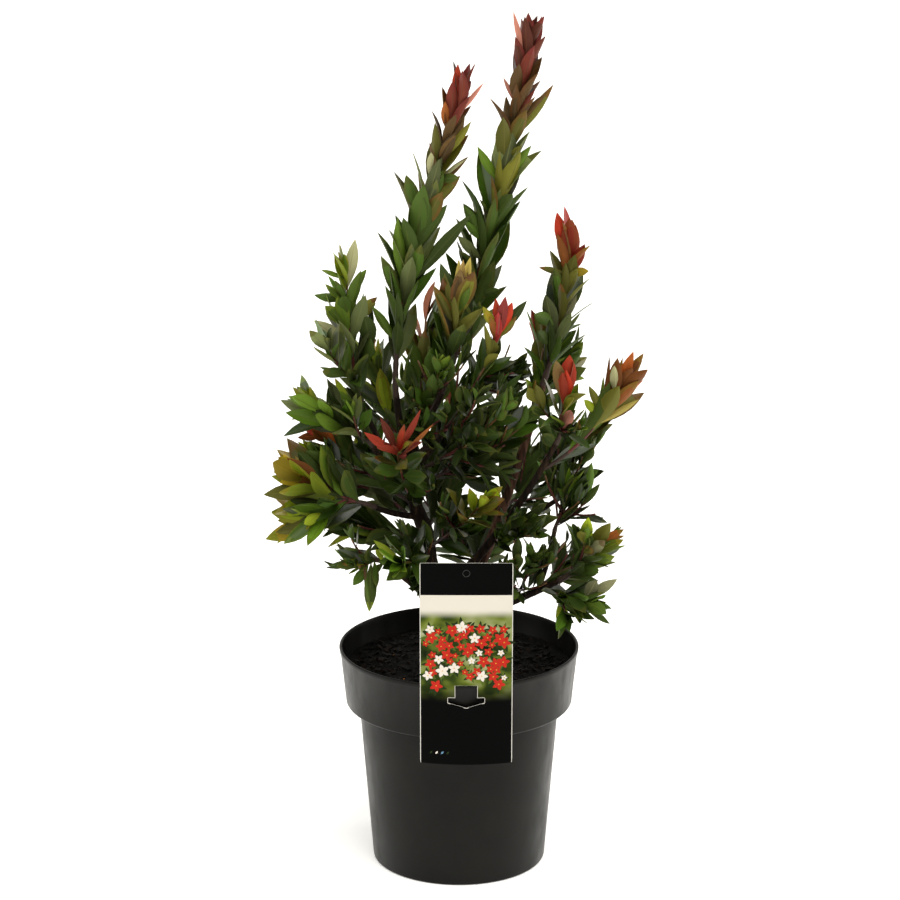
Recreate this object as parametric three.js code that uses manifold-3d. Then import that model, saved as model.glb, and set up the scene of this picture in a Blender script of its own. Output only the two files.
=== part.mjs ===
// A young bottlebrush shrub in a 200 mm nursery pot, with its hang-on label.
// Units are millimetres and +Z is up. The origin is the centre of the pot's flat underside.
// The label hangs on the pot's -Y side, and the two tall leaders lean in the XZ plane.

import * as THREE from "three";
import { ConvexGeometry } from "three/addons/geometries/ConvexGeometry.js";
import { mergeVertices } from "three/addons/utils/BufferGeometryUtils.js";
import Module from "manifold-3d";

const wasm = await Module();
wasm.setup();
const { Manifold } = wasm;

// ---------------------------------------------------------------- driving dimensions

const GAP = 0.3; // clearance between neighbouring pieces
const GOLDEN_ANGLE = THREE.MathUtils.degToRad(137.5);
const SEED = 4021;

const POT = {
  height: 190,
  lipRadius: 101.5,
  lipHeight: 4,
  collarTopRadius: 100.6,
  collarBottomRadius: 96,
  collarHeight: 50,
  bodyTopRadius: 85,
  baseRadius: 73.5,
  baseBevel: 2.5,
  wall: 2,
  floor: 3,
  segments: 36,
  edge: 1.5, // the small bevels of its collar
  lipWidth: 2.4,
};

const DRAIN = {
  count: 6, // holes in the pot's floor
  radius: 5,
  ring: 50, // their distance from its centre
  sides: 8,
};

const MIX = {
  surface: 174, // height of the potting mix round the trunk
  edgeDrop: 2.5, // how much lower it lies against the wall
  lump: 1, // height of its unevenness
  lumpX: 4.8, // spacing of its lumps, in millimetres for each radian
  lumpY: 5.9,
  flatRadius: 22, // level round the trunk's foot
};

const LABEL = {
  width: 76,
  above: 108, // above the pot's rim
  below: 71, // below the pot's rim
  thickness: 0.6,
  centreX: 6,
  cornerRadius: 1,
  neckWidth: 18, // the tongue that hooks over the rim
  barbWidth: 30,
  barbLength: 9,
  neckLength: 11,
  hookSpan: 8.4, // from the card to the tongue's inner leg
  lean: 3, // degrees, so that its foot rests nearer the pot
};

const LEAF = {
  lifeScale: 1.1, // how far each leaf is larger than life, as there are fewer
  onSideTwigs: 0.86, // a side twig's leaves over the stem's
  lengthVaries: 0.12, // share of its length that one leaf differs by
  breadth: 0.36, // width over length
  thickness: 0.024, // thickness over length
  lowerShoulder: 0.3, // where the blade reaches its width, as a share of its length
  upperShoulder: 0.66,
  angleVaries: 0.15,
  roll: 45, // degrees that a blade may lie turned about its own length
  rise: 0.15, // how far its tip turns up to the light, over its length
  tries: [0, 35, -35, 70, -70, 105, 180], // degrees that it may be turned on round the twig
  shortening: 0.94, // for each further try
  space: 1.2, // how much nearer to its own shoot than to any other it stays
};

const TWIG = {
  sides: 3,
  tipRadius: 1.5,
  growth: 0.0075, // radius gained for each millimetre back from the tip
  firstLeaf: 0.08, // share of a twig that is bare below its first leaf
  lastLeaf: 0.985,
  firstSide: 0.14, // where side twigs start, as shares of the stem
  lastSide: 0.74,
  sideShare: 0.4, // a side twig's length over its stem's length
  sideShortest: 30,
  sideLongest: 52,
  sideOpen: 42, // degrees between side twig and stem
  sideOpenVaries: 0.2,
  sideRise: 0.16, // how far a side twig's tip lifts, over its length
  sideBend: 0.12,
  space: 7, // how far it stays from other masses' stems and twigs
};

// ---------------------------------------------------------------- the limbs
// Each limb leaves its host at a share of the host's length and ends at its tip.
// bend > 0 runs outwards first and then climbs, and bend < 0 climbs first and then arches over.

const TRUNK = {
  thick: 10.2, // its radius just above the flare
  thin: 4.2, // its radius at the fork
  flare: 5, // radius gained where it meets the potting mix
  flareReach: 0.05, // share of its height over which the flare fades
};

const TRUNK_STATIONS = [
  [0, 0, MIX.surface + GAP],
  [-9, 1, 208],
  [-25, 0, 262],
  [-28, 0, 289],
  [-38, -2, 319],
  [-40, -3, 345],
  [-38, -2, 371],
];

const LIMBS = [
  { name: "second_stem", host: "trunk", at: 0.13, tip: [70, 15, 414], bend: 0.06, radii: [5.6, 2.9] },
  { name: "low_left_bough", host: "trunk", at: 0.2, tip: [-62, -34, 274], bend: -0.06, radii: [4.6, 2.6] },
  { name: "low_right_bough", host: "trunk", at: 0.17, tip: [84, -32, 258], bend: 0.04, radii: [4.8, 2.8] },
  { name: "front_right_bough", host: "trunk", at: 0.3, tip: [80, -35, 378], bend: 0.08, radii: [4.4, 2.4] },
  { name: "high_bough", host: "trunk", at: 1, tip: [-15, 8, 409], bend: 0.1, radii: [3.9, 3.1] },
  { name: "tall_bough", host: "trunk", at: 0.9, tip: [-52, -12, 412], bend: 0.2, radii: [3.4, 2.8] },
  { name: "upper_left_bough", host: "trunk", at: 0.82, tip: [-78, -16, 400], bend: 0.1, radii: [3, 2.3] },
  { name: "mid_left_bough", host: "trunk", at: 0.76, tip: [-72, -22, 372], bend: 0.1, radii: [2.9, 2.2] },
  { name: "left_bough", host: "trunk", at: 0.66, tip: [-70, -32, 322], bend: 0.1, radii: [3, 2.3] },
  { name: "right_bough", host: "second_stem", at: 0.42, tip: [86, 16, 316], bend: 0.1, radii: [2.8, 2.2] },
  { name: "right_riser", host: "low_right_bough", at: 0.8, tip: [80, -14, 296], bend: 0.1, radii: [2.5, 2] },
  { name: "back_bough", host: "trunk", at: 0.86, tip: [4, 38, 398], bend: 0.1, radii: [3, 2.3] },
];

// ---------------------------------------------------------------- the masses of foliage
// A mass is one leafy shoot, whose stem leaves its host as a limb does. Its habit gives the
// length in life of its longest leaf and what share of that its youngest has, the angle of its
// first leaf to the stem in degrees and the last leaf's share of that, the distance between
// leaves, and the number of side twigs.

const LEADER = { leaf: 58, youngest: 0.72, open: 32, closing: 0.55, step: 11, twigs: 0 };
const CANDLE = { leaf: 44, youngest: 0.9, open: 34, closing: 0.6, step: 10.5, twigs: 0 };
const UPRIGHT = { leaf: 44, youngest: 0.8, open: 42, closing: 0.5, step: 11, twigs: 1 };
const BUDDED = { leaf: 39, youngest: 0.8, open: 42, closing: 0.5, step: 11, twigs: 1 };
const SPEAR = { leaf: 50, youngest: 0.9, open: 42, closing: 0.5, step: 11, twigs: 1 };
const BROAD = { leaf: 50, youngest: 1, open: 50, closing: 0.6, step: 12, twigs: 3 };
const ROSETTE = { leaf: 38, youngest: 1, open: 56, closing: 0.8, step: 10, twigs: 1 };
const SPRAY = { leaf: 42, youngest: 0.85, open: 50, closing: 0.5, step: 12, twigs: 2 };
const FINE = { leaf: 36, youngest: 0.8, open: 54, closing: 0.5, step: 12.5, twigs: 2 };
const BACK = { leaf: 46, youngest: 0.85, open: 50, closing: 0.5, step: 15, twigs: 2 };

const MASSES = [
  { name: "high_leader", host: "high_bough", at: 1, tip: [56, 14, 692], bend: 0.06, ...LEADER },
  { name: "left_leader", host: "tall_bough", at: 1, tip: [0, -14, 656], bend: -0.14, ...LEADER },
  { name: "right_leader", host: "second_stem", at: 1, tip: [92, 10, 526], bend: 0.1, ...CANDLE },
  { name: "upper_left", host: "upper_left_bough", at: 1, tip: [-92, -20, 513], bend: 0.2, ...UPRIGHT },
  { name: "mid_left", host: "mid_left_bough", at: 1, tip: [-113, -34, 406], bend: 0.1, ...SPRAY },
  { name: "left_bud", host: "trunk", at: 0.72, tip: [-112, 30, 366], bend: 0.1, ...SPRAY },
  { name: "left", host: "left_bough", at: 1, tip: [-124, -50, 349], bend: 0.12, ...BROAD },
  { name: "low_left", host: "trunk", at: 0.55, tip: [-116, -12, 306], bend: -0.05, ...BROAD },
  { name: "low_left_fan", host: "low_left_bough", at: 1, tip: [-88, -44, 280], bend: -0.1, ...FINE },
  { name: "low_front", host: "trunk", at: 0.44, tip: [-46, -72, 286], bend: -0.1, ...SPRAY },
  { name: "front_rosette", host: "trunk", at: 0.74, tip: [-50, -80, 382], bend: 0.12, ...ROSETTE },
  { name: "front_bronze", host: "high_bough", at: 0.5, tip: [-2, -42, 494], bend: 0.2, ...SPEAR },
  { name: "upper_front", host: "trunk", at: 0.92, tip: [33, -56, 476], bend: 0.12, ...BUDDED },
  { name: "upper_right", host: "back_bough", at: 1, tip: [48, 36, 424], bend: 0.1, ...SPRAY },
  { name: "right_bud", host: "front_right_bough", at: 1, tip: [85, -60, 424], bend: 0.15, ...BUDDED },
  { name: "far_right", host: "front_right_bough", at: 0.84, tip: [128, -34, 418], bend: 0.15, ...SPEAR },
  { name: "right", host: "right_bough", at: 1, tip: [93, 24, 350], bend: 0.1, ...SPRAY },
  { name: "low_right", host: "low_right_bough", at: 1, tip: [112, -40, 290], bend: 0.1, ...FINE, leaf: 40 },
  { name: "lowest_right", host: "low_right_bough", at: 0.82, tip: [104, -56, 248], bend: -0.1, ...SPRAY },
  { name: "right_middle", host: "right_riser", at: 1, tip: [90, -18, 328], bend: 0.1, ...SPRAY },
  { name: "low_back", host: "low_right_bough", at: 0.75, tip: [98, 14, 262], bend: 0, ...FINE },
  { name: "low_inner", host: "low_right_bough", at: 0.6, tip: [62, -46, 280], bend: 0, ...FINE },
  { name: "inner_left", host: "trunk", at: 0.97, tip: [-16, -48, 444], bend: 0.1, ...FINE },
  { name: "inner_right", host: "trunk", at: 0.86, tip: [40, -64, 418], bend: 0.1, ...FINE },
  { name: "front_gold", host: "trunk", at: 0.52, tip: [16, -66, 332], bend: 0.05, ...SPRAY },
  { name: "centre", host: "trunk", at: 0.8, tip: [54, -20, 390], bend: 0.1, ...SPRAY, twigs: 3 },
  { name: "low_centre", host: "front_right_bough", at: 0.4, tip: [44, -30, 304], bend: 0.1, ...FINE },
  { name: "back_left_high", host: "trunk", at: 0.88, tip: [-72, 62, 424], bend: 0.15, ...BACK },
  { name: "back_left", host: "trunk", at: 0.62, tip: [-88, 70, 326], bend: 0.1, ...BACK },
  { name: "back_crown", host: "trunk", at: 0.96, tip: [-28, 46, 464], bend: 0.1, ...BACK },
  { name: "back_middle", host: "trunk", at: 0.58, tip: [-6, 84, 358], bend: 0.15, ...BACK },
  { name: "back_low", host: "second_stem", at: 0.24, tip: [24, 82, 270], bend: 0, ...BACK },
  { name: "back_right_high", host: "second_stem", at: 0.84, tip: [66, 66, 430], bend: 0.15, ...BACK },
  { name: "back_right", host: "second_stem", at: 0.5, tip: [76, 74, 330], bend: 0.1, ...BACK },
];

const PAINT = {
  pot: { color: 0x2b2b2c, roughness: 0.48 },
  mix: { color: 0x1c1613, roughness: 1 },
  label: { color: 0x17181a, roughness: 0.35 },
  bark: { color: 0x4a3328, roughness: 0.9 },
  foliage: { color: 0x37521f, roughness: 0.5 },
};

// ---------------------------------------------------------------- geometry helpers

// The mulberry32 generator: the same numbers each time for one seed.
function seeded(seed) {
  let state = seed >>> 0;
  return () => {
    state = (state + 0x6d2b79f5) >>> 0;
    let t = state;
    t = Math.imul(t ^ (t >>> 15), t | 1);
    t ^= t + Math.imul(t ^ (t >>> 7), t | 61);
    return ((t ^ (t >>> 14)) >>> 0) / 4294967296;
  };
}

// A value that differs by up to a share of itself either way.
function varied(value, share, random) {
  return value * (1 + share * (2 * random() - 1));
}

// A three.js geometry as a manifold-3d solid.
function solid(geometry) {
  const bare = geometry.clone();
  bare.deleteAttribute("normal");
  bare.deleteAttribute("uv");
  const merged = mergeVertices(bare, 1e-4);
  return new Manifold(
    new wasm.Mesh({
      numProp: 3,
      vertProperties: new Float32Array(merged.attributes.position.array),
      triVerts: new Uint32Array(merged.index.array),
    }),
  );
}

// A manifold-3d solid's largest body as a three.js geometry: scraps and sealed hollows go.
function geometryOf(whole) {
  const bodies = whole.decompose().sort((a, b) => b.volume() - a.volume());
  const mesh = bodies[0].getMesh();
  const geometry = new THREE.BufferGeometry();
  geometry.setAttribute("position", new THREE.BufferAttribute(mesh.vertProperties, 3));
  geometry.setIndex(new THREE.BufferAttribute(mesh.triVerts, 1));
  geometry.computeVertexNormals();
  return geometry;
}

function namedMesh(name, geometry, paint) {
  const mesh = new THREE.Mesh(geometry, new THREE.MeshStandardMaterial({ metalness: 0, ...paint }));
  mesh.name = name;
  return mesh;
}

// A closed round tube along a curve, with flat ends and a radius that radiusAt gives for 0..1.
function taperedTube(curve, radiusAt, sides, steps) {
  const frames = curve.computeFrenetFrames(steps, false);
  const positions = [];
  const faces = [];
  for (let i = 0; i <= steps; i++) {
    const centre = curve.getPointAt(i / steps);
    const radius = radiusAt(i / steps);
    for (let j = 0; j < sides; j++) {
      const turn = (2 * Math.PI * j) / sides;
      const point = centre
        .clone()
        .addScaledVector(frames.normals[i], radius * Math.cos(turn))
        .addScaledVector(frames.binormals[i], radius * Math.sin(turn));
      positions.push(...point.toArray());
    }
  }
  const ring = (i, j) => i * sides + (j % sides);
  for (let i = 0; i < steps; i++) {
    for (let j = 0; j < sides; j++) {
      faces.push(ring(i, j), ring(i, j + 1), ring(i + 1, j + 1));
      faces.push(ring(i, j), ring(i + 1, j + 1), ring(i + 1, j));
    }
  }
  for (let j = 1; j < sides - 1; j++) {
    faces.push(ring(0, 0), ring(0, j + 1), ring(0, j));
    faces.push(ring(steps, 0), ring(steps, j), ring(steps, j + 1));
  }
  const geometry = new THREE.BufferGeometry();
  geometry.setAttribute("position", new THREE.Float32BufferAttribute(positions, 3));
  geometry.setIndex(faces);
  return geometry;
}

// A curve from start to end whose middle runs outwards (bend > 0) or upwards (bend < 0) first.
// What grows on from a limb's tip sets out along that limb's own heading.
function bentCurve(start, end, bend, heading) {
  const middle = new THREE.Vector3(
    THREE.MathUtils.lerp(start.x, end.x, 0.5 + bend),
    THREE.MathUtils.lerp(start.y, end.y, 0.5 + bend),
    THREE.MathUtils.lerp(start.z, end.z, 0.5 - bend),
  );
  if (!heading) {
    return new THREE.QuadraticBezierCurve3(start, middle, end);
  }
  const straightOn = start.clone().addScaledVector(heading, 0.2 * start.distanceTo(end));
  return new THREE.CubicBezierCurve3(start, straightOn, middle, end);
}

// ---------------------------------------------------------------- pot, potting mix and label

function turned(profile) {
  const points = profile.map(([radius, height]) => new THREE.Vector2(radius, height));
  return new THREE.LatheGeometry(points, POT.segments).rotateX(Math.PI / 2);
}

function innerRadius(height) {
  const collarBottom = POT.height - POT.collarHeight;
  if (height > collarBottom + POT.wall) {
    const share = (height - collarBottom) / POT.collarHeight;
    return THREE.MathUtils.lerp(POT.collarBottomRadius, POT.collarTopRadius, share) - POT.wall;
  }
  return THREE.MathUtils.lerp(POT.baseRadius, POT.bodyTopRadius, height / collarBottom) - POT.wall;
}

function potGeometry() {
  const collarBottom = POT.height - POT.collarHeight;
  const lipBottom = POT.height - POT.lipHeight;
  const insideStep = collarBottom + POT.wall;
  return turned([
    [0, 0],
    [POT.baseRadius - POT.baseBevel, 0],
    [POT.baseRadius, POT.baseBevel],
    [POT.bodyTopRadius, collarBottom],
    [POT.collarBottomRadius - POT.edge, collarBottom],
    [POT.collarBottomRadius, collarBottom + POT.edge],
    [POT.collarTopRadius, lipBottom],
    [POT.lipRadius, lipBottom + POT.edge / 2],
    [POT.lipRadius, POT.height - POT.edge / 2],
    [POT.lipRadius - POT.edge / 2, POT.height],
    [POT.lipRadius - POT.lipWidth, POT.height],
    [innerRadius(lipBottom), lipBottom],
    [POT.collarBottomRadius - POT.wall, insideStep + 0.1],
    [POT.bodyTopRadius - POT.wall, insideStep],
    [innerRadius(POT.floor), POT.floor],
    [0, POT.floor],
  ]);
}

// The pot's floor is pierced for drainage.
function potSolid() {
  const hole = new THREE.CylinderGeometry(DRAIN.radius, DRAIN.radius, 3 * POT.floor, DRAIN.sides);
  hole.rotateX(Math.PI / 2).translate(DRAIN.ring, 0, 0);
  const holes = Array.from({ length: DRAIN.count }, (_, index) =>
    solid(hole.clone().rotateZ((2 * Math.PI * (index + 0.5)) / DRAIN.count)),
  );
  return solid(potGeometry()).subtract(Manifold.union(holes));
}

function mixHeight(x, y) {
  const radius = Math.hypot(x, y);
  const edge = innerRadius(MIX.surface);
  const lumps = Math.sin(x / MIX.lumpX) * Math.cos(y / MIX.lumpY);
  const loose = THREE.MathUtils.smoothstep(radius, MIX.flatRadius, edge / 2);
  return MIX.surface + loose * (MIX.lump * lumps - MIX.edgeDrop * (radius / edge) ** 2);
}

function mixGeometry() {
  const step = POT.height - POT.collarHeight + POT.wall;
  const edgeHeight = MIX.surface - MIX.edgeDrop;
  const edge = innerRadius(edgeHeight) - GAP;
  const bottom = POT.floor + GAP;
  const surfaceRings = [0.78, 0.5].map((share) => [edge * share, MIX.surface]);
  const geometry = turned([
    [0, bottom],
    [innerRadius(bottom) - GAP, bottom],
    [POT.bodyTopRadius - POT.wall - 2 * GAP, step],
    [POT.bodyTopRadius - POT.wall - GAP, step + 2 * GAP],
    [POT.collarBottomRadius - POT.wall - 2 * GAP, step + 3 * GAP],
    [edge, edgeHeight],
    ...surfaceRings,
    [MIX.flatRadius * 0.8, MIX.surface],
    [0, MIX.surface],
  ]);
  const position = geometry.attributes.position;
  for (let i = 0; i < position.count; i++) {
    if (position.getZ(i) > edgeHeight + 1) {
      position.setZ(i, mixHeight(position.getX(i), position.getY(i)));
    }
  }
  return geometry;
}

// The tongue is cut out of the card, bent back over the rim and hooked behind the wall.
// Its outline hangs from y = 0, with a neck of the length given above its barb.
function tongueOutline(neckLength) {
  const neck = LABEL.neckWidth / 2;
  const barb = LABEL.barbWidth / 2;
  const point = -neckLength - LABEL.barbLength;
  const shoulder = point + LABEL.barbLength / 2;
  return [
    [-neck, 0],
    [-neck, -neckLength],
    [-barb, -neckLength],
    [-barb, shoulder],
    [0, point],
    [barb, shoulder],
    [barb, -neckLength],
    [neck, -neckLength],
    [neck, 0],
  ].map(([x, y]) => new THREE.Vector2(x, y));
}

function roundedCard() {
  const half = LABEL.width / 2;
  const round = LABEL.cornerRadius;
  const card = new THREE.Shape();
  card.moveTo(-half, -LABEL.below + round);
  card.absarc(-half + round, LABEL.above - round, round, Math.PI, Math.PI / 2, true);
  card.absarc(half - round, LABEL.above - round, round, Math.PI / 2, 0, true);
  card.absarc(half - round, -LABEL.below + round, round, 0, -Math.PI / 2, true);
  card.absarc(-half + round, -LABEL.below + round, round, -Math.PI / 2, -Math.PI, true);
  return card;
}

// The card hangs against the rim. Local x is across it, local y up it, and local z out from the pot.
function labelMesh() {
  const sheet = { depth: LABEL.thickness, bevelEnabled: false, curveSegments: 3 };
  const card = roundedCard();
  card.holes.push(new THREE.Path(tongueOutline(LABEL.neckLength)));
  const fold = new THREE.BoxGeometry(LABEL.neckWidth, LABEL.thickness, LABEL.hookSpan);
  fold.translate(0, LABEL.thickness / 2, LABEL.thickness - LABEL.hookSpan / 2);
  const leg = new THREE.ExtrudeGeometry(
    new THREE.Shape(tongueOutline(LABEL.neckLength - LABEL.hookSpan + LABEL.thickness)),
    sheet,
  );
  leg.translate(0, LABEL.thickness / 2, LABEL.thickness / 2 - LABEL.hookSpan);
  const label = Manifold.union([solid(new THREE.ExtrudeGeometry(card, sheet)), solid(fold), solid(leg)]);
  const mesh = namedMesh("plant_label", geometryOf(label), PAINT.label);
  mesh.rotation.x = THREE.MathUtils.degToRad(90 + LABEL.lean);
  mesh.position.set(LABEL.centreX, -POT.lipRadius - GAP, POT.height + GAP);
  return mesh;
}

// ---------------------------------------------------------------- trunk and boughs

function trunkRadius(share) {
  const slender = THREE.MathUtils.lerp(TRUNK.thick, TRUNK.thin, share);
  return slender + TRUNK.flare * Math.exp(-share / TRUNK.flareReach);
}

function trunkLimb() {
  const stations = TRUNK_STATIONS.map((station) => new THREE.Vector3(...station));
  const curve = new THREE.CatmullRomCurve3(stations, false, "centripetal");
  return { name: "trunk", curve, radiusAt: trunkRadius, sides: 9, steps: 16 };
}

// The curve of a limb or shoot that leaves its host at a share of the host's length.
// At the host's tip it sets out straight on, a gap beyond it.
function leave(host, spec) {
  const start = host.curve.getPointAt(spec.at);
  const end = new THREE.Vector3(...spec.tip);
  if (spec.at < 1) {
    return bentCurve(start, end, spec.bend);
  }
  const heading = host.curve.getTangentAt(1);
  return bentCurve(start.addScaledVector(heading, GAP), end, spec.bend, heading);
}

function growLimbs() {
  const limbs = new Map([["trunk", trunkLimb()]]);
  for (const spec of LIMBS) {
    const curve = leave(limbs.get(spec.host), spec);
    const [thick, thin] = spec.radii;
    const radiusAt = (share) => THREE.MathUtils.lerp(thick, thin, share);
    limbs.set(spec.name, { ...spec, curve, radiusAt, sides: 6, steps: 6 });
  }
  return limbs;
}

function limbSolid(limb, extra) {
  const radiusAt = (share) => limb.radiusAt(share) + extra;
  return solid(taperedTube(limb.curve, radiusAt, limb.sides, limb.steps));
}

// A limb or a mass with a gap cut round each limb that it leaves or passes.
function cutClear(piece, limbs) {
  return limbs.reduce((rest, limb) => rest.subtract(limbSolid(limb, GAP)), piece);
}

// The trunk's foot is cut level with the potting mix.
function levelFoot(trunk) {
  const block = new THREE.BoxGeometry(80, 80, 40).translate(0, 0, MIX.surface + GAP - 20);
  return trunk.subtract(solid(block));
}

function limbMesh(limb, earlier) {
  const whole = limbSolid(limb, 0);
  const cut = earlier.length ? cutClear(whole, earlier) : levelFoot(whole);
  return namedMesh(limb.name, geometryOf(cut), PAINT.bark);
}

// ---------------------------------------------------------------- foliage

function distanceToPolyline(point, polyline) {
  let nearest = Infinity;
  const closest = new THREE.Vector3();
  for (let i = 0; i + 1 < polyline.length; i++) {
    new THREE.Line3(polyline[i], polyline[i + 1]).closestPointToPoint(point, true, closest);
    nearest = Math.min(nearest, closest.distanceTo(point));
  }
  return nearest;
}

// What no leaf or twig may enter: the limbs, the pot with its mix, and the label.
function clearanceTest(limbs) {
  const limbLines = [...limbs.values()].map((limb) => ({
    line: limb.curve.getSpacedPoints(10),
    radius: Math.max(limb.radiusAt(0.25), limb.radiusAt(0.75)) + 1,
  }));
  const labelHalf = LABEL.width / 2 + 3;
  const labelTop = POT.height + LABEL.above + 3;
  return (point) => {
    const overPot = Math.hypot(point.x, point.y) < POT.lipRadius + 3;
    const behindLabel = Math.abs(point.x - LABEL.centreX) < labelHalf && point.z < labelTop;
    return (
      !(overPot && point.z < POT.height + 3) &&
      !(behindLabel && point.y < -POT.lipRadius + 8) &&
      limbLines.every(({ line, radius }) => distanceToPolyline(point, line) > radius)
    );
  };
}

// The distance from a point to the nearest of a mass's stem and side twigs.
function distanceToShoot(point, shoot) {
  return Math.min(...shoot.lines.map((line) => distanceToPolyline(point, line)));
}

// The corners of a leaf: a long hexagon, with every other corner raised for its thickness.
// heading is the leaf's direction, and side lies across it.
function leafCorners(root, heading, side, length) {
  const raise = new THREE.Vector3().crossVectors(heading, side).multiplyScalar((length * LEAF.thickness) / 2);
  const half = (length * LEAF.breadth) / 2;
  const corner = (along, across, up) =>
    root
      .clone()
      .addScaledVector(heading, length * along)
      .addScaledVector(side, half * across)
      .addScaledVector(raise, up);
  return [
    corner(0, 0, 1),
    corner(LEAF.lowerShoulder, 1, -1),
    corner(LEAF.upperShoulder, 1, 1),
    corner(1, 0, -1),
    corner(LEAF.upperShoulder, -1, 1),
    corner(LEAF.lowerShoulder, -1, -1),
  ];
}

// The direction across a twig at a turn round it.
function acrossTwig(tangent, turn) {
  const level = Math.abs(tangent.z) > 0.9 ? new THREE.Vector3(1, 0, 0) : new THREE.Vector3(0, 0, 1);
  const first = new THREE.Vector3().crossVectors(tangent, level).normalize();
  return first.applyAxisAngle(tangent, turn);
}

// Leaves stand round a twig by turns of the golden angle, wide at its base and close at its tip.
// One that would leave its space or touch another leaf or twig is turned on and shortened a
// little, and after the last try it is left out.
function leavesAlong(twig, shoot, leafScale, keeps, obstacles) {
  const leaves = [];
  const { degToRad, lerp } = THREE.MathUtils;
  const random = shoot.random;
  const count = Math.max(3, Math.round(twig.getLength() / shoot.step));
  for (let i = 0; i <= count; i++) {
    const share = lerp(TWIG.firstLeaf, TWIG.lastLeaf, i / count);
    const tangent = twig.getTangentAt(share);
    const angle = shoot.open * lerp(1, shoot.closing, share);
    const open = degToRad(varied(angle, LEAF.angleVaries, random));
    const grown = lerp(shoot.youngest, 1, Math.sin(Math.PI * Math.min(1, share + 0.2)));
    const full = shoot.leaf * leafScale * LEAF.lifeScale;
    const bladeLength = varied(full * grown, LEAF.lengthVaries, random);
    const roll = degToRad(LEAF.roll * (2 * random() - 1));
    const root = twig.getPointAt(share);
    for (const [attempt, turnedOn] of LEAF.tries.entries()) {
      const across = acrossTwig(tangent, shoot.phase + i * GOLDEN_ANGLE + degToRad(turnedOn));
      const heading = tangent
        .clone()
        .multiplyScalar(Math.cos(open))
        .addScaledVector(across, Math.sin(open));
      heading.z += LEAF.rise;
      heading.normalize();
      const level = new THREE.Vector3().crossVectors(tangent, across).normalize();
      const side = level.applyAxisAngle(heading, roll);
      const corners = leafCorners(root, heading, side, bladeLength * LEAF.shortening ** attempt);
      if (corners.slice(1).every(keeps)) {
        const leaf = solid(new ConvexGeometry(corners));
        if ([...obstacles, ...leaves].every((other) => other.intersect(leaf).isEmpty())) {
          leaves.push(leaf);
          break;
        }
      }
    }
  }
  return leaves;
}

function twigSolid(twig, steps) {
  const length = twig.getLength();
  const radiusAt = (share) => TWIG.tipRadius + TWIG.growth * length * (1 - share);
  return solid(taperedTube(twig, radiusAt, TWIG.sides, steps));
}

// Side twigs leave the stem by turns of the golden angle, and curl towards the light.
function sideTwigs(shoot, keeps) {
  const { clamp, degToRad, lerp } = THREE.MathUtils;
  const random = shoot.random;
  const made = [];
  const reach = clamp(shoot.curve.getLength() * TWIG.sideShare, TWIG.sideShortest, TWIG.sideLongest);
  for (let i = 0; i < shoot.twigs; i++) {
    const share = lerp(TWIG.firstSide, TWIG.lastSide, (i + 0.6 * random()) / shoot.twigs);
    const tangent = shoot.curve.getTangentAt(share);
    const across = acrossTwig(tangent, i * GOLDEN_ANGLE * 1.3 + shoot.phase);
    const open = degToRad(varied(TWIG.sideOpen, TWIG.sideOpenVaries, random));
    const start = shoot.curve.getPointAt(share);
    const end = start
      .clone()
      .addScaledVector(tangent, reach * Math.cos(open))
      .addScaledVector(across, reach * Math.sin(open));
    end.z += reach * TWIG.sideRise;
    const twig = bentCurve(start, end, TWIG.sideBend);
    if ([0.4, 0.7, 1].every((part) => keeps(twig.getPointAt(part)))) {
      made.push(twig);
    }
  }
  return made;
}

// Stems first, then the side twigs of one mass after the other, each clear of the others.
function growShoots(limbs, clear) {
  const shoots = MASSES.map((spec, index) => {
    const curve = leave(limbs.get(spec.host), spec);
    const random = seeded(SEED + index);
    return { ...spec, curve, random, phase: index * 0.9, lines: [curve.getSpacedPoints(10)], side: [] };
  });
  for (const shoot of shoots) {
    const others = shoots.filter((other) => other !== shoot);
    const keeps = (point) =>
      clear(point) && others.every((other) => distanceToShoot(point, other) > TWIG.space);
    shoot.side = sideTwigs(shoot, keeps);
    shoot.lines.push(...shoot.side.map((twig) => twig.getSpacedPoints(3)));
  }
  return shoots;
}

// A mass keeps the space that is nearer to its own stem and twigs than to any other mass's.
function massMesh(shoot, shoots, limbs, clear) {
  const others = shoots.filter((other) => other !== shoot);
  const keeps = (point) => {
    const own = distanceToShoot(point, shoot) + LEAF.space;
    return clear(point) && others.every((other) => distanceToShoot(point, other) > own);
  };
  const stem = twigSolid(shoot.curve, Math.max(3, Math.round(shoot.curve.getLength() / 36)));
  const sides = shoot.side.map((twig) => twigSolid(twig, 1));
  const leaves = leavesAlong(shoot.curve, shoot, 1, keeps, sides);
  shoot.side.forEach((twig, index) => {
    const obstacles = [stem, ...sides.filter((other) => other !== sides[index]), ...leaves];
    leaves.push(...leavesAlong(twig, shoot, LEAF.onSideTwigs, keeps, obstacles));
  });
  const cut = cutClear(Manifold.union([stem, ...sides, ...leaves]), [...limbs.values()]);
  return namedMesh("foliage_" + shoot.name, geometryOf(cut), PAINT.foliage);
}

// ---------------------------------------------------------------- the assembly

const plant = new THREE.Group();
plant.add(namedMesh("pot", geometryOf(potSolid()), PAINT.pot));
plant.add(namedMesh("potting_mix", geometryOf(solid(mixGeometry())), PAINT.mix));
plant.add(labelMesh());

const limbs = growLimbs();
[...limbs.values()].forEach((limb, index, all) => plant.add(limbMesh(limb, all.slice(0, index))));

const clear = clearanceTest(limbs);
const shoots = growShoots(limbs, clear);
for (const shoot of shoots) {
  plant.add(massMesh(shoot, shoots, limbs, clear));
}

export default plant;
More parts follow.
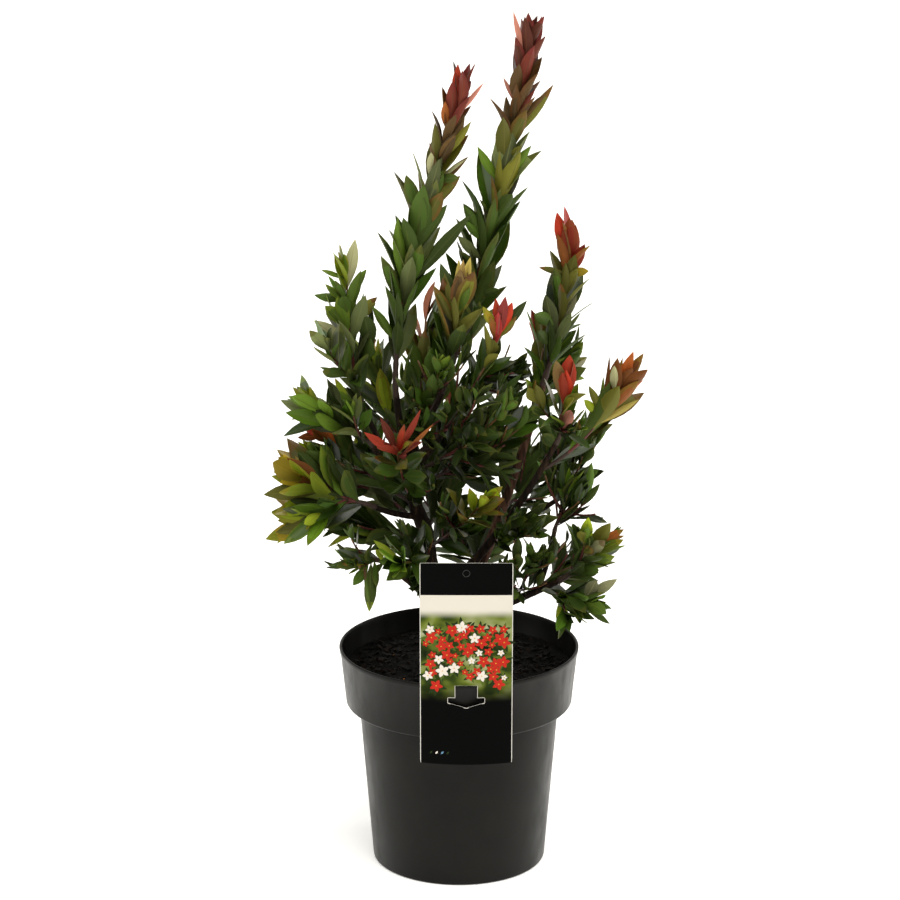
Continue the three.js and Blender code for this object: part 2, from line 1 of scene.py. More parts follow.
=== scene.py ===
"""A young bottlebrush shrub in its nursery pot: the looks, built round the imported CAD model.

Growth is worked out in millimetres, by the rule and from the sizes of the CAD source, and is
carried on to finer twigs and to leaves of nearly life size. Meshes are made in metres. +Z is up,
and the origin is the centre of the pot's flat underside.
"""

import math
from collections import namedtuple

import bpy
import numpy as np
from mathutils import Matrix, Vector, noise


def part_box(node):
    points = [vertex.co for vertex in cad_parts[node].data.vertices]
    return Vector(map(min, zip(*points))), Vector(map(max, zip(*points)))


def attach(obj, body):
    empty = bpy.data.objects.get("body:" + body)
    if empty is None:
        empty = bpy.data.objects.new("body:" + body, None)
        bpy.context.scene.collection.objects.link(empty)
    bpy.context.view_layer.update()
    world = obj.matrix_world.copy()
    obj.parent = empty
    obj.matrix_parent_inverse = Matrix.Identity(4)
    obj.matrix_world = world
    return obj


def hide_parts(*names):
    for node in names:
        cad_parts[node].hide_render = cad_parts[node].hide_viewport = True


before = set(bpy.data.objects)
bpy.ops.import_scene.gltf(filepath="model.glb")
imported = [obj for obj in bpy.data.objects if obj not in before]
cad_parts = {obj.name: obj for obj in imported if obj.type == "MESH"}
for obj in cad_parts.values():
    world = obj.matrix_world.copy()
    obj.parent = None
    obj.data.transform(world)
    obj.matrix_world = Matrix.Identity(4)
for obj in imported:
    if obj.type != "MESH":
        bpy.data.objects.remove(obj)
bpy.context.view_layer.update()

# ---------------------------------------------------------------- sizes of the CAD source, in mm

MM = 0.001
GAP = 0.3
GOLDEN_ANGLE = math.radians(137.5)
SEED = 4021
LOOKS_SEED, PRINT_SEED, MIX_SEED = SEED * 7, SEED + 700, SEED + 900

POT_HEIGHT = 190
POT_LIP_RADIUS = 101.5
POT_LIP_HEIGHT = 4
POT_COLLAR_TOP = 100.6
POT_COLLAR_BOTTOM = 96
POT_COLLAR_HEIGHT = 50
POT_BODY_TOP = 85
POT_BASE = 73.5
POT_WALL = 2
POT_FLOOR = 3

DRAIN_COUNT = 6
DRAIN_RADIUS = 5
DRAIN_RING = 50

MIX_SURFACE = 174
MIX_EDGE_DROP = 2.5
MIX_FLAT_RADIUS = 22

LABEL_WIDTH = 76
LABEL_ABOVE = 108
LABEL_BELOW = 71
LABEL_THICKNESS = 0.6
LABEL_CENTRE_X = 6
LABEL_CORNER = 1
LABEL_NECK_WIDTH = 18
LABEL_BARB_WIDTH = 30
LABEL_BARB_LENGTH = 9
LABEL_NECK_LENGTH = 11
LABEL_HOOK_SPAN = 8.4
LABEL_LEAN = math.radians(3)

TRUNK_THICK = 10.2
TRUNK_THIN = 4.2
TRUNK_FLARE = 5
TRUNK_FLARE_REACH = 0.05
TRUNK_STATIONS = [
    (0, 0, MIX_SURFACE + GAP),
    (-9, 1, 208),
    (-25, 0, 262),
    (-28, 0, 289),
    (-38, -2, 319),
    (-40, -3, 345),
    (-38, -2, 371),
]

# name, host, share of the host's length, tip, bend, radii at both ends
LIMBS = [
    ("second_stem", "trunk", 0.13, (70, 15, 414), 0.06, (5.6, 2.9)),
    ("low_left_bough", "trunk", 0.2, (-62, -34, 274), -0.06, (4.6, 2.6)),
    ("low_right_bough", "trunk", 0.17, (84, -32, 258), 0.04, (4.8, 2.8)),
    ("front_right_bough", "trunk", 0.3, (80, -35, 378), 0.08, (4.4, 2.4)),
    ("high_bough", "trunk", 1, (-15, 8, 409), 0.1, (3.9, 3.1)),
    ("tall_bough", "trunk", 0.9, (-52, -12, 412), 0.2, (3.4, 2.8)),
    ("upper_left_bough", "trunk", 0.82, (-78, -16, 400), 0.1, (3, 2.3)),
    ("mid_left_bough", "trunk", 0.76, (-72, -22, 372), 0.1, (2.9, 2.2)),
    ("left_bough", "trunk", 0.66, (-70, -32, 322), 0.1, (3, 2.3)),
    ("right_bough", "second_stem", 0.42, (86, 16, 316), 0.1, (2.8, 2.2)),
    ("right_riser", "low_right_bough", 0.8, (80, -14, 296), 0.1, (2.5, 2)),
    ("back_bough", "trunk", 0.86, (4, 38, 398), 0.1, (3, 2.3)),
]

# length in life of the longest leaf and the youngest's share of it, the first leaf's angle to its
# stem in degrees and the last one's share of it, and the number of side twigs
LEADER = {"leaf": 58, "youngest": 0.72, "open": 32, "closing": 0.55, "twigs": 0}
CANDLE = {"leaf": 44, "youngest": 0.9, "open": 34, "closing": 0.6, "twigs": 0}
UPRIGHT = {"leaf": 44, "youngest": 0.8, "open": 42, "closing": 0.5, "twigs": 1}
BUDDED = {"leaf": 39, "youngest": 0.8, "open": 42, "closing": 0.5, "twigs": 1}
SPEAR = {"leaf": 50, "youngest": 0.9, "open": 42, "closing": 0.5, "twigs": 1}
BROAD = {"leaf": 50, "youngest": 1, "open": 50, "closing": 0.6, "twigs": 3}
ROSETTE = {"leaf": 38, "youngest": 1, "open": 56, "closing": 0.8, "twigs": 1}
SPRAY = {"leaf": 42, "youngest": 0.85, "open": 50, "closing": 0.5, "twigs": 2}
FINE = {"leaf": 36, "youngest": 0.8, "open": 54, "closing": 0.5, "twigs": 2}
BACK = {"leaf": 46, "youngest": 0.85, "open": 50, "closing": 0.5, "twigs": 2}

# The colours of a mass's leaves, from its foot to its tip. The pale grey-green leaves mixed among
# the greens are painted sheen.
RED_LEADER = "deep sage deep deep green sage green olive sage olive bronze bronze maroon maroon"
RUBY = "deep green sage green olive olive rust scarlet"
SHADED = "deep deep deep green green"
GREENS = "deep deep green green leaf"
FRESH = "deep green sage leaf leaf lime"
GOLDEN = "deep deep green leaf lime olive lime gold"
RUSTY = "deep green leaf olive rust rust"
OLIVE = "deep green green leaf olive olive rust"
GILT = "deep green green olive olive lime"
ORANGE = "deep green leaf olive olive scarlet scarlet"
RED_BUD = "deep deep green green green orange scarlet"
# Its last, darkest red is painted shade.
RED_ROSETTE = "deep deep deep green green olive ruby"
CRIMSON = "deep deep green green green green olive crimson"
WITHERED = "deep green green green olive olive bronze"

# name, host, share of the host's length, tip, bend, habit, colours
MASSES = [
    ("high_leader", "high_bough", 1, (56, 14, 692), 0.06, LEADER, RED_LEADER),
    ("left_leader", "tall_bough", 1, (0, -14, 656), -0.14, LEADER, RED_LEADER),
    ("right_leader", "second_stem", 1, (92, 10, 526), 0.1, CANDLE, RUBY),
    ("upper_left", "upper_left_bough", 1, (-92, -20, 513), 0.2, UPRIGHT, FRESH),
    ("mid_left", "mid_left_bough", 1, (-113, -34, 406), 0.1, SPRAY, FRESH),
    ("left_bud", "trunk", 0.72, (-112, 30, 366), 0.1, SPRAY, RED_BUD),
    ("left", "left_bough", 1, (-124, -50, 349), 0.12, BROAD, GOLDEN),
    ("low_left", "trunk", 0.55, (-116, -12, 306), -0.05, BROAD, GOLDEN),
    ("low_left_fan", "low_left_bough", 1, (-88, -44, 280), -0.1, {**FINE, "leaf": 30}, GREENS),
    ("low_front", "trunk", 0.44, (-46, -72, 286), -0.1, SPRAY, GREENS),
    ("front_rosette", "trunk", 0.74, (-50, -80, 382), 0.12, ROSETTE, RED_ROSETTE),
    ("front_bronze", "high_bough", 0.5, (-2, -42, 494), 0.2, SPEAR, WITHERED),
    ("upper_front", "trunk", 0.92, (33, -56, 476), 0.12, BUDDED, CRIMSON),
    ("upper_right", "back_bough", 1, (48, 36, 424), 0.1, SPRAY, SHADED),
    ("right_bud", "front_right_bough", 1, (85, -60, 424), 0.15, BUDDED, ORANGE),
    ("far_right", "front_right_bough", 0.84, (128, -34, 418), 0.15, {**SPEAR, "twigs": 0}, RUSTY),
    ("right", "right_bough", 1, (93, 24, 350), 0.1, {**SPRAY, "leaf": 36}, GREENS),
    ("low_right", "low_right_bough", 1, (112, -40, 290), 0.1, {**FINE, "leaf": 40}, OLIVE),
    ("lowest_right", "low_right_bough", 0.82, (104, -56, 248), -0.1, SPRAY, GREENS),
    ("right_middle", "right_riser", 1, (90, -18, 328), 0.1, SPRAY, GREENS),
    ("low_back", "low_right_bough", 0.75, (98, 14, 262), 0, FINE, SHADED),
    ("low_inner", "low_right_bough", 0.6, (62, -46, 280), 0, FINE, SHADED),
    ("inner_left", "trunk", 0.97, (-16, -48, 444), 0.1, FINE, GREENS),
    ("inner_right", "trunk", 0.86, (40, -64, 418), 0.1, FINE, SHADED),
    ("front_gold", "trunk", 0.52, (16, -66, 332), 0.05, SPRAY, GILT),
    ("centre", "trunk", 0.8, (54, -20, 390), 0.1, {**SPRAY, "twigs": 3}, SHADED),
    ("low_centre", "front_right_bough", 0.4, (44, -30, 304), 0.1, FINE, SHADED),
    ("back_left_high", "trunk", 0.88, (-72, 62, 424), 0.15, BACK, GOLDEN),
    ("back_left", "trunk", 0.62, (-88, 70, 326), 0.1, BACK, FRESH),
    ("back_crown", "trunk", 0.96, (-28, 46, 464), 0.1, BACK, RUSTY),
    ("back_middle", "trunk", 0.58, (-6, 84, 358), 0.15, BACK, RED_ROSETTE),
    ("back_low", "second_stem", 0.24, (24, 82, 270), 0, BACK, GREENS),
    ("back_right_high", "second_stem", 0.84, (66, 66, 430), 0.15, BACK, ORANGE),
    ("back_right", "second_stem", 0.5, (76, 74, 330), 0.1, BACK, FRESH),
]

TWIG_FIRST_LEAF = 0.08
TWIG_LAST_LEAF = 0.985
SIDE_FIRST, SIDE_LAST = 0.14, 0.74
SIDE_SHARE, SIDE_SHORTEST, SIDE_LONGEST = 0.4, 30, 52
SIDE_OPEN, SIDE_OPEN_VARIES = 42, 0.2
SIDE_RISE, SIDE_BEND = 0.16, 0.12
TWIG_SPACE = 7

LEAF_ON_SIDE_TWIGS = 0.86
LEAF_LENGTH_VARIES = 0.12
LEAF_ANGLE_VARIES = 0.15
LEAF_ROLL = 65
LEAF_RISE = 0.15
LEAF_TRIES = (0, 35, -35, 70, -70, 105, 180)
LEAF_SHORTENING = 0.94
LEAF_SPACE = 1.2

# ---------------------------------------------------------------- what only the looks have, in mm

LEAF_STEP = 4.7  # between leaves along a twig
LEAF_STEP_BARE = 4.4  # and along a stem with no side twigs
LEAF_BREADTH = 0.3  # over the length
LEAF_BREADTH_BARE = 0.26
LEAF_THICKNESS = 0.42
FINE_INSIDE = (0.25, 0.5, 0.75)  # where finer twigs leave a stem inside the crown
FINE_OUTSIDE = (0.3,)  # and one that reaches outside it
FINE_ON_SIDE = (0.45,)  # and a side twig
OUTSIDE_SCALE = 1.1  # of the leaves outside
OUTSIDE_STEP = 5.2
OUTSIDE = """
    upper_left mid_left left low_left low_left_fan low_front front_rosette front_bronze
    upper_front right_bud far_right low_right lowest_right front_gold
""".split()
FINE_REACH = 27
FINE_LEAF = 0.95
FINE_STEP = 6
TUFT_LEAVES = 4  # small leaves round each tip
TUFT_SCALE = (0.62, 0.4)
TUFT_OPEN = (0.8, 0.35)  # of the twig's last leaf's angle
FEWEST_LEAVES = 4  # of a twig, less one
LENGTH_PEAK = 0.2  # how far below the middle of a twig its leaves are longest

PHASE_STEP = 0.9  # from shoot to shoot, in radians
STEM_RADIUS, STEM_THICKENS = 1.2, 0.007  # at its foot, and more for each mm of length
TURN_STEP = 1.3  # golden angles from side twig to side twig
SIDE_JITTER = 0.6  # of the step between them
SIDE_RIPE, FINE_RIPE = (0.35, 0.45), (0.3, 0.35)  # at a stem's foot, and more at its tip
SIDE_RADIUS, FINE_RADIUS = 1.5, 1.1
SIDE_TESTED, FINE_TESTED = (0.4, 0.7, 1), (0.5, 0.8, 1)  # shares that have to keep their space
FINE_JITTER, FINE_VARIES = 0.06, 0.2  # in place and in reach
FINE_TRIES, FINE_TRY_TURN = 5, 1.2
STEM_PARTS, TWIG_PARTS = 10, 3  # straight parts that distances are measured to

CLEAR_OF_LIMBS, CLEAR_OF_REST = 1, 3
LIMB_TESTED = (0.25, 0.75)  # the thicker of a limb's radii here stands for all of it
LABEL_DEPTH = 8  # of the space behind the rim's front that is the label's
BOX_MARGIN = 2  # round the box of a mass in the CAD model
OUTLINE_SHARES, OUTLINE_HALF = (0.35, 0.7), 0.15  # of a leaf's length, for the test of its space

# Single leaves that stand out, under the name of their mass: the tip's x, y and z, the length, the
# breadth over the length, and the colour. The root is where it fits best on any of the mass's
# twigs, so the length can come out a little different. They aren't tested for space.
ACCENTS = """
high_leader
  42 10 729 44 .10 pink
  64 12 706 40 .13 maroon
  78 12 666 56 .13 olive
  71 14 660 40 .20 bronze
  36 10 676 30 .12 pink
  14 6 618 40 .22 leaf
  58 8 618 42 .20 leaf
  5 -6 570 44 .20 green
  43 -20 587 48 .20 deep
  46 10 614 37 .22 leaf
  15 -4 579 29 .10 deep
  33 -14 502 36 .22 deep
  62 6 665 32 .14 maroon
  52 -2 620 25 .20 olive
  6 0 572 44 .24 deep
  -1 -2 544 36 .26 sage
  0 0 532 32 .24 deep
  3 -4 558 36 .22 green
left_leader
  -2 -14 690 40 .20 scarlet
  20 -12 674 40 .10 pink
  -14 -20 661 30 .22 rust
  6 -14 614 44 .14 bronze
  -27 -26 588 58 .30 deep
  -45 -24 601 44 .26 green
  -50 -30 568 71 .15 leaf
  -62 -20 533 49 .20 green
  -29 -28 547 50 .26 green
  7 -30 567 80 .15 deep
  1 -24 596 19 .40 green
  5 -10 612 36 .09 fawn
  -8 -12 589 46 .13 olive
  -12 -24 603 36 .26 green
  -23 -28 622 36 .20 fawn
  -71 -24 492 42 .20 leaf
  9 -12 644 42 .18 olive
upper_left
  -86 -24 545 42 .24 fawn
  -119 -30 484 44 .26 fawn
  -119 -20 500 27 .26 green
  -109 -34 497 37 .30 leaf
  -95 -38 507 36 .30 deep
  -100 -42 473 44 .32 leaf
  -76 -34 482 34 .38 deep
  -72 -34 469 37 .32 deep
  -69 -16 493 27 .34 olive
  -113 -20 521 22 .20 leaf
  -114 -14 436 20 .16 green
  -66 -16 495 29 .30 olive
  -110 -24 511 29 .24 leaf
  -100 -30 514 25 .24 green
front_rosette
  -32 -84 421 44 .15 ruby
  -62 -84 414 34 .20 ruby
  -74 -88 402 34 .22 ruby
  -45 -94 410 32 .20 scarlet
  -22 -90 410 46 .09 rust
  -42 -98 386 22 .26 crimson
upper_front
  29 -60 506 30 .26 scarlet
  36 -68 506 30 .26 crimson
  44 -62 503 30 .26 scarlet
  25 -66 493 28 .26 rust
  54 -54 504 34 .22 deep
  47 -60 491 25 .24 olive
  17 -64 502 24 .22 gold
left_bud
  -135 22 380 34 .26 scarlet
  -126 12 376 30 .30 rust
  -136 20 366 26 .26 orange
right_leader
  80 8 563 44 .24 scarlet
  89 2 562 44 .28 scarlet
  96 6 553 44 .24 scarlet
  103 4 538 34 .30 scarlet
  66 8 518 25 .24 olive
  61 -10 485 37 .26 green
  59 -14 469 41 .22 deep
  99 2 496 37 .20 fawn
  106 2 514 15 .40 gold
  78 4 517 37 .26 green
  87 -2 460 36 .22 green
right_bud
  80 -66 461 44 .24 brown
  91 -72 459 44 .30 scarlet
  88 -78 450 40 .30 scarlet
  90 -66 415 36 .30 pink
  94 -64 415 25 .20 green
far_right
  150 -40 434 44 .08 pink
  149 -40 416 44 .12 straw
  151 -40 457 46 .18 rust
  142 -46 457 37 .20 orange
  125 -54 452 40 .18 fawn
  101 -44 417 25 .26 lime
  108 -46 430 34 .20 olive
left
  -151 -62 376 46 .28 gold
  -139 -70 372 48 .32 rust
  -159 -66 346 52 .30 olive
  -152 -60 358 44 .26 gold
low_left
  -153 -46 322 46 .32 lime
  -153 -30 309 46 .26 gold
  -160 -36 294 54 .28 gold
  -115 -30 292 29 .14 green
low_left_fan
  -74 -70 243 44 .22 leaf
  -74 -70 246 37 .12 green
  -86 -66 264 27 .34 green
  -93 -64 273 20 .12 leaf
  -103 -56 277 29 .30 green
  -77 -64 269 15 .20 brown
  -92 -60 283 32 .26 gold
  -68 -64 264 29 .20 green
  -96 -56 281 35 .24 olive
  -68 -50 290 32 .20 lime
  -76 -52 268 30 .30 green
low_right
  124 -60 318 50 .28 olive
  136 -48 311 34 .22 rust
  137 -52 299 36 .22 lime
  130 -66 296 54 .28 leaf
  112 -70 298 24 .34 olive
  117 -68 305 38 .26 fawn
  108 -62 326 40 .30 lime
  87 -50 315 22 .14 green
  94 -44 313 29 .12 leaf
front_bronze
  9 -60 532 51 .26 bronze
  4 -54 538 48 .18 tan
  0 -58 537 48 .20 brown
  11 -48 538 46 .18 straw
  2 -46 538 44 .14 straw
  -19 -56 514 41 .24 olive
  9 -62 515 37 .20 leaf
  -15 -34 530 42 .24 deep
low_front
  -69 -84 309 35 .2 lime
  -56 -80 277 34 .32 leaf
  -42 -60 319 25 .30 green
  -60 -66 268 32 .34 leaf
  -66 -64 286 30 .30 green
low_inner
  38 -60 288 29 .22 green
  50 -64 293 29 .26 deep
  60 -60 298 25 .24 green
  46 -70 254 25 .34 deep
  47 -60 302 31 .26 deep
  57 -58 301 27 .26 green
lowest_right
  86 -68 224 34 .30 lime
  103 -72 236 29 .30 green
  123 -64 240 37 .26 deep
  131 -62 271 37 .22 fawn
  113 -70 272 28 .36 fawn
low_centre
  66 -40 317 25 .30 deep
  83 -38 316 40 .22 deep
  72 -34 325 32 .26 deep
mid_left
  -141 -30 416 32 .26 leaf
  -139 -36 405 31 .26 green
right
  114 0 365 25 .30 green
  118 10 341 37 .30 green
  114 -4 337 34 .30 deep
  68 -14 391 25 .30 deep
  67 -10 379 25 .30 green
right_middle
  110 -16 356 34 .26 green
  117 -24 339 29 .22 deep
"""

# Where sky shows through the crown and no leaf grows: x, z and radius of a hole along the camera's
# line of sight, as it is in the plane y = 0.
OPENINGS = """
    128 358 14, 138 360 9, 47 456 14, -29 491 7, -30 475 6, 114 325 9, -85 253 6, -21 626 5,
    -16 541 6, -8 521 6, 127 254 6, -45 233 5, 102 551 4, -31 591 4, -107 432 6,
    -70 458 5, -87 516 4, -105 268 5, 78 223 4, -94 257 5, -96 284 4, -79 234 4, 8 678 4,
    38 521 4, 145 441 4, -124 283 4, 73 258 5, -139 365 3, 144 386 11, 22 620 5, -86 511 4,
    78 316 6, -105 252 5, 39 669 4, -139 363 4, 102 548 3, 99 503 3, 118 310 4, -66 422 4,
    97 455 3, 105 561 5, 96 505 3
"""
SIGHT_SLOPE = 0.297  # the line of sight's drop over y

# ---------------------------------------------------------------- random numbers and curves


class Seeded:
    """The mulberry32 generator: the same numbers each time for one seed."""

    MASK = 0xFFFFFFFF

    def __init__(self, seed):
        self.state = seed & self.MASK

    def __call__(self):
        self.state = (self.state + 0x6D2B79F5) & self.MASK
        t = self.state
        t = ((t ^ (t >> 15)) * (t | 1)) & self.MASK
        t ^= (t + ((t ^ (t >> 7)) * (t | 61) & self.MASK)) & self.MASK
        return ((t ^ (t >> 14)) & self.MASK) / 4294967296

    def between(self, low, high):
        return low + (high - low) * self()


def varied(value, share, random):
    """A value that differs by up to a share of itself either way."""
    return value * (1 + share * (2 * random() - 1))


NEARLY_ONE = 0.9  # a part of a direction that is too near to an axis to be crossed with it


def lerp(a, b, share):
    return a + (b - a) * share


def smooth_step(low, high, value):
    share = np.clip((value - low) / (high - low), 0, 1)
    return share * share * (3 - 2 * share)


class Curve:
    """A curve that is walked by its length: share 0 is its start, and share 1 its end."""

    SHARES = np.linspace(0, 1, 201)
    NUDGE = 1e-4

    def __init__(self, point):
        self.point = point
        places = [point(share) for share in self.SHARES]
        steps = [(b - a).length for a, b in zip(places, places[1:])]
        self.lengths = np.concatenate([[0], np.cumsum(steps)])
        self.length = float(self.lengths[-1])

    def place(self, share):
        return float(np.interp(share * self.length, self.lengths, self.SHARES))

    def at(self, share):
        return self.point(self.place(share))

    def tangent(self, share):
        place = self.place(share)
        before = max(0.0, place - self.NUDGE)
        after = min(1.0, place + self.NUDGE)
        return (self.point(after) - self.point(before)).normalized()

    def spaced(self, count):
        return [self.at(i / count) for i in range(count + 1)]


STRAIGHT_ON = 0.2  # of its length, where a curve has a heading to start with


def bent_curve(start, end, bend, heading=None):
    """A curve whose middle runs outwards (bend > 0) or upwards (bend < 0) first."""
    middle = Vector(
        (
            lerp(start.x, end.x, 0.5 + bend),
            lerp(start.y, end.y, 0.5 + bend),
            lerp(start.z, end.z, 0.5 - bend),
        )
    )
    if heading is None:
        return Curve(lambda t: start * (1 - t) ** 2 + middle * 2 * t * (1 - t) + end * t * t)
    straight_on = start + heading * STRAIGHT_ON * (end - start).length
    return Curve(
        lambda t: start * (1 - t) ** 3
        + straight_on * 3 * t * (1 - t) ** 2
        + middle * 3 * t * t * (1 - t)
        + end * t**3
    )


def centripetal_curve(stations):
    """A centripetal Catmull-Rom curve through the stations."""
    points = [Vector(s) for s in stations]
    points = [points[0] * 2 - points[1], *points, points[-1] * 2 - points[-2]]
    pieces = len(stations) - 1

    def point(share):
        index = min(int(share * pieces), pieces - 1)
        t = share * pieces - index
        a, b, c, d = points[index : index + 4]
        ab, bc, cd = ((q - p).length ** 0.5 for p, q in ((a, b), (b, c), (c, d)))
        leaving = ((b - a) / ab - (c - a) / (ab + bc) + (c - b) / bc) * bc
        arriving = ((c - b) / bc - (d - b) / (bc + cd) + (d - c) / cd) * bc
        cubic = (b - c) * 2 + leaving + arriving
        square = (c - b) * 3 - leaving * 2 - arriving
        return b + leaving * t + square * t * t + cubic * t**3

    return Curve(point)


# ---------------------------------------------------------------- limbs


Limb = namedtuple("Limb", "name curve radius_at")


def trunk_radius(share):
    return lerp(TRUNK_THICK, TRUNK_THIN, share) + TRUNK_FLARE * math.exp(-share / TRUNK_FLARE_REACH)


def leave(host, at, tip, bend):
    """The curve of a limb or shoot that leaves its host, straight on from the host's own tip."""
    start = host.curve.at(at)
    if at < 1:
        return bent_curve(start, Vector(tip), bend)
    heading = host.curve.tangent(1)
    return bent_curve(start + heading * GAP, Vector(tip), bend, heading)


def grow_limbs():
    limbs = {"trunk": Limb("trunk", centripetal_curve(TRUNK_STATIONS), trunk_radius)}
    for name, host, at, tip, bend, (thick, thin) in LIMBS:
        curve = leave(limbs[host], at, tip, bend)
        limbs[name] = Limb(name, curve, lambda share, a=thick, b=thin: lerp(a, b, share))
    return limbs


# ---------------------------------------------------------------- space


class Space:
    """Distances from points to the lines of every owner."""

    def __init__(self, owners):
        self.lines = [[] for _ in range(owners)]
        self.ready = False

    def add(self, owner, line):
        self.lines[owner].append(np.array(line))
        self.ready = False

    def prepare(self):
        starts = [np.concatenate([line[:-1] for line in lines]) for lines in self.lines]
        ends = [np.concatenate([line[1:] for line in lines]) for lines in self.lines]
        self.first = np.concatenate([[0], np.cumsum([len(s) for s in starts])])[:-1]
        self.start = np.concatenate(starts)
        self.along = np.concatenate(ends) - self.start
        self.square = (self.along**2).sum(1)
        self.ready = True

    def distances(self, points):
        if not self.ready:
            self.prepare()
        offset = np.asarray(points)[:, None] - self.start
        share = np.clip((offset * self.along).sum(2) / self.square, 0, 1)
        gaps = np.linalg.norm(offset - share[..., None] * self.along, axis=2)
        return np.minimum.reduceat(gaps, self.first, axis=1)


def clearance_test(limbs):
    """Tells whether points are clear of the limbs, the pot with its mix, and the label."""
    space = Space(len(limbs))
    for index, limb in enumerate(limbs.values()):
        space.add(index, limb.curve.spaced(STEM_PARTS))
    radii = [max(limb.radius_at(share) for share in LIMB_TESTED) for limb in limbs.values()]
    radii = np.array(radii) + CLEAR_OF_LIMBS

    def clear(points):
        p = np.asarray(points)
        x, y, z = p.T
        in_pot = np.hypot(x, y) < POT_LIP_RADIUS + CLEAR_OF_REST
        in_pot &= z < POT_HEIGHT + CLEAR_OF_REST
        near_label = abs(x - LABEL_CENTRE_X) < LABEL_WIDTH / 2 + CLEAR_OF_REST
        near_label &= z < POT_HEIGHT + LABEL_ABOVE + CLEAR_OF_REST
        near_label &= y < -POT_LIP_RADIUS + LABEL_DEPTH
        return not in_pot.any() and not near_label.any() and (space.distances(p) > radii).all()

    return clear


# ---------------------------------------------------------------- shoots and their leaves


# Order 0 is a stem, 1 a side twig and 2 a finer twig. ripe is how far the colours of the last leaf
# have run, from 0 to 1. A leaf's colour is None where it follows from the leaf's place on its twig.
Twig = namedtuple("Twig", "curve order ripe base_radius")
Leaf = namedtuple("Leaf", "root heading side length breadth ripe colour", defaults=(1.0, None))


class Shoot:
    def __init__(self, index, row, host):
        self.name, _, at, tip, bend, habit, colours = row
        self.habit = habit
        self.colours = colours.split()
        self.index = index
        self.phase = index * PHASE_STEP
        self.random = Seeded(SEED + index)
        self.looks = Seeded(LOOKS_SEED + index)
        curve = leave(host, at, tip, bend)
        radius = host.radius_at(1) if at == 1 else STEM_RADIUS + STEM_THICKENS * curve.length
        self.stem = Twig(curve, 0, 1.0, radius)
        self.twigs = [self.stem]
        self.leaves = []


def across_twig(tangent, turn):
    """The direction across a twig at a turn round it."""
    level = Vector((1, 0, 0)) if abs(tangent.z) > NEARLY_ONE else Vector((0, 0, 1))
    first = tangent.cross(level).normalized()
    first.rotate(Matrix.Rotation(turn, 3, tangent))
    return first


def twig_from(parent, share, turn, open_angle, reach):
    """A twig that leaves its parent at a share of its length, and curls towards the light."""
    tangent = parent.tangent(share)
    across = across_twig(tangent, turn)
    start = parent.at(share)
    end = start + tangent * reach * math.cos(open_angle) + across * reach * math.sin(open_angle)
    end.z += reach * SIDE_RISE
    return bent_curve(start, end, SIDE_BEND)


def side_twigs(shoot, keeps):
    made = []
    stem = shoot.stem.curve
    random = shoot.random
    reach = min(max(stem.length * SIDE_SHARE, SIDE_SHORTEST), SIDE_LONGEST)
    count = shoot.habit["twigs"]
    for i in range(count):
        share = lerp(SIDE_FIRST, SIDE_LAST, (i + SIDE_JITTER * random()) / count)
        open_angle = math.radians(varied(SIDE_OPEN, SIDE_OPEN_VARIES, random))
        turn = i * GOLDEN_ANGLE * TURN_STEP + shoot.phase
        curve = twig_from(stem, share, turn, open_angle, reach)
        if keeps([curve.at(part) for part in SIDE_TESTED]):
            ripe, riper = SIDE_RIPE
            made.append(Twig(curve, 1, ripe + riper * share, SIDE_RADIUS))
    return made


def fine_twigs(shoot, parent, shares, keeps):
    made = []
    random = shoot.looks
    for i, share in enumerate(shares):
        share = share + FINE_JITTER * (random() - 0.5)
        open_angle = math.radians(varied(SIDE_OPEN, SIDE_OPEN_VARIES, random))
        reach = varied(FINE_REACH, FINE_VARIES, random)
        first_turn = (i + 0.5) * GOLDEN_ANGLE * TURN_STEP + shoot.phase + random()
        for attempt in range(FINE_TRIES):
            turn = first_turn + attempt * FINE_TRY_TURN
            curve = twig_from(parent.curve, share, turn, open_angle, reach)
            if keeps([curve.at(part) for part in FINE_TESTED]):
                ripe, riper = FINE_RIPE
                made.append(Twig(curve, 2, parent.ripe * (ripe + riper * share), FINE_RADIUS))
                break
    return made


def grow_shoots(limbs, clear):
    """Stems first, then side twigs as the CAD source grows them, then finer twigs."""
    shoots = [Shoot(index, row, limbs[row[1]]) for index, row in enumerate(MASSES)]
    space = Space(len(shoots))
    for shoot in shoots:
        space.add(shoot.index, shoot.stem.curve.spaced(STEM_PARTS))

    def apart(index):
        def keeps(points):
            gaps = space.distances(points)
            gaps[:, index] = np.inf
            return clear(points) and (gaps > TWIG_SPACE).all()

        return keeps

    def add(shoot, twigs):
        shoot.twigs += twigs
        for twig in twigs:
            space.add(shoot.index, twig.curve.spaced(TWIG_PARTS))

    for shoot in shoots:
        add(shoot, side_twigs(shoot, apart(shoot.index)))
    for shoot in shoots:
        if not shoot.habit["twigs"]:
            continue
        outside = shoot.name in OUTSIDE
        on_stem, on_side = (FINE_OUTSIDE, ()) if outside else (FINE_INSIDE, FINE_ON_SIDE)
        for parent in list(shoot.twigs):
            shares = on_side if parent.order else on_stem
            add(shoot, fine_twigs(shoot, parent, shares, apart(shoot.index)))
    return shoots, space


def sky_test():
    """Tells whether points are clear of the openings that show sky."""
    holes = np.array([[float(word) for word in cell.split()] for cell in OPENINGS.split(",")])

    def clear_of_sky(p):
        across = p[:, :1] - holes[:, 0]
        up = p[:, 2:] + SIGHT_SLOPE * p[:, 1:2] - holes[:, 1]
        return bool((np.hypot(across, up) > holes[:, 2]).all())

    return clear_of_sky


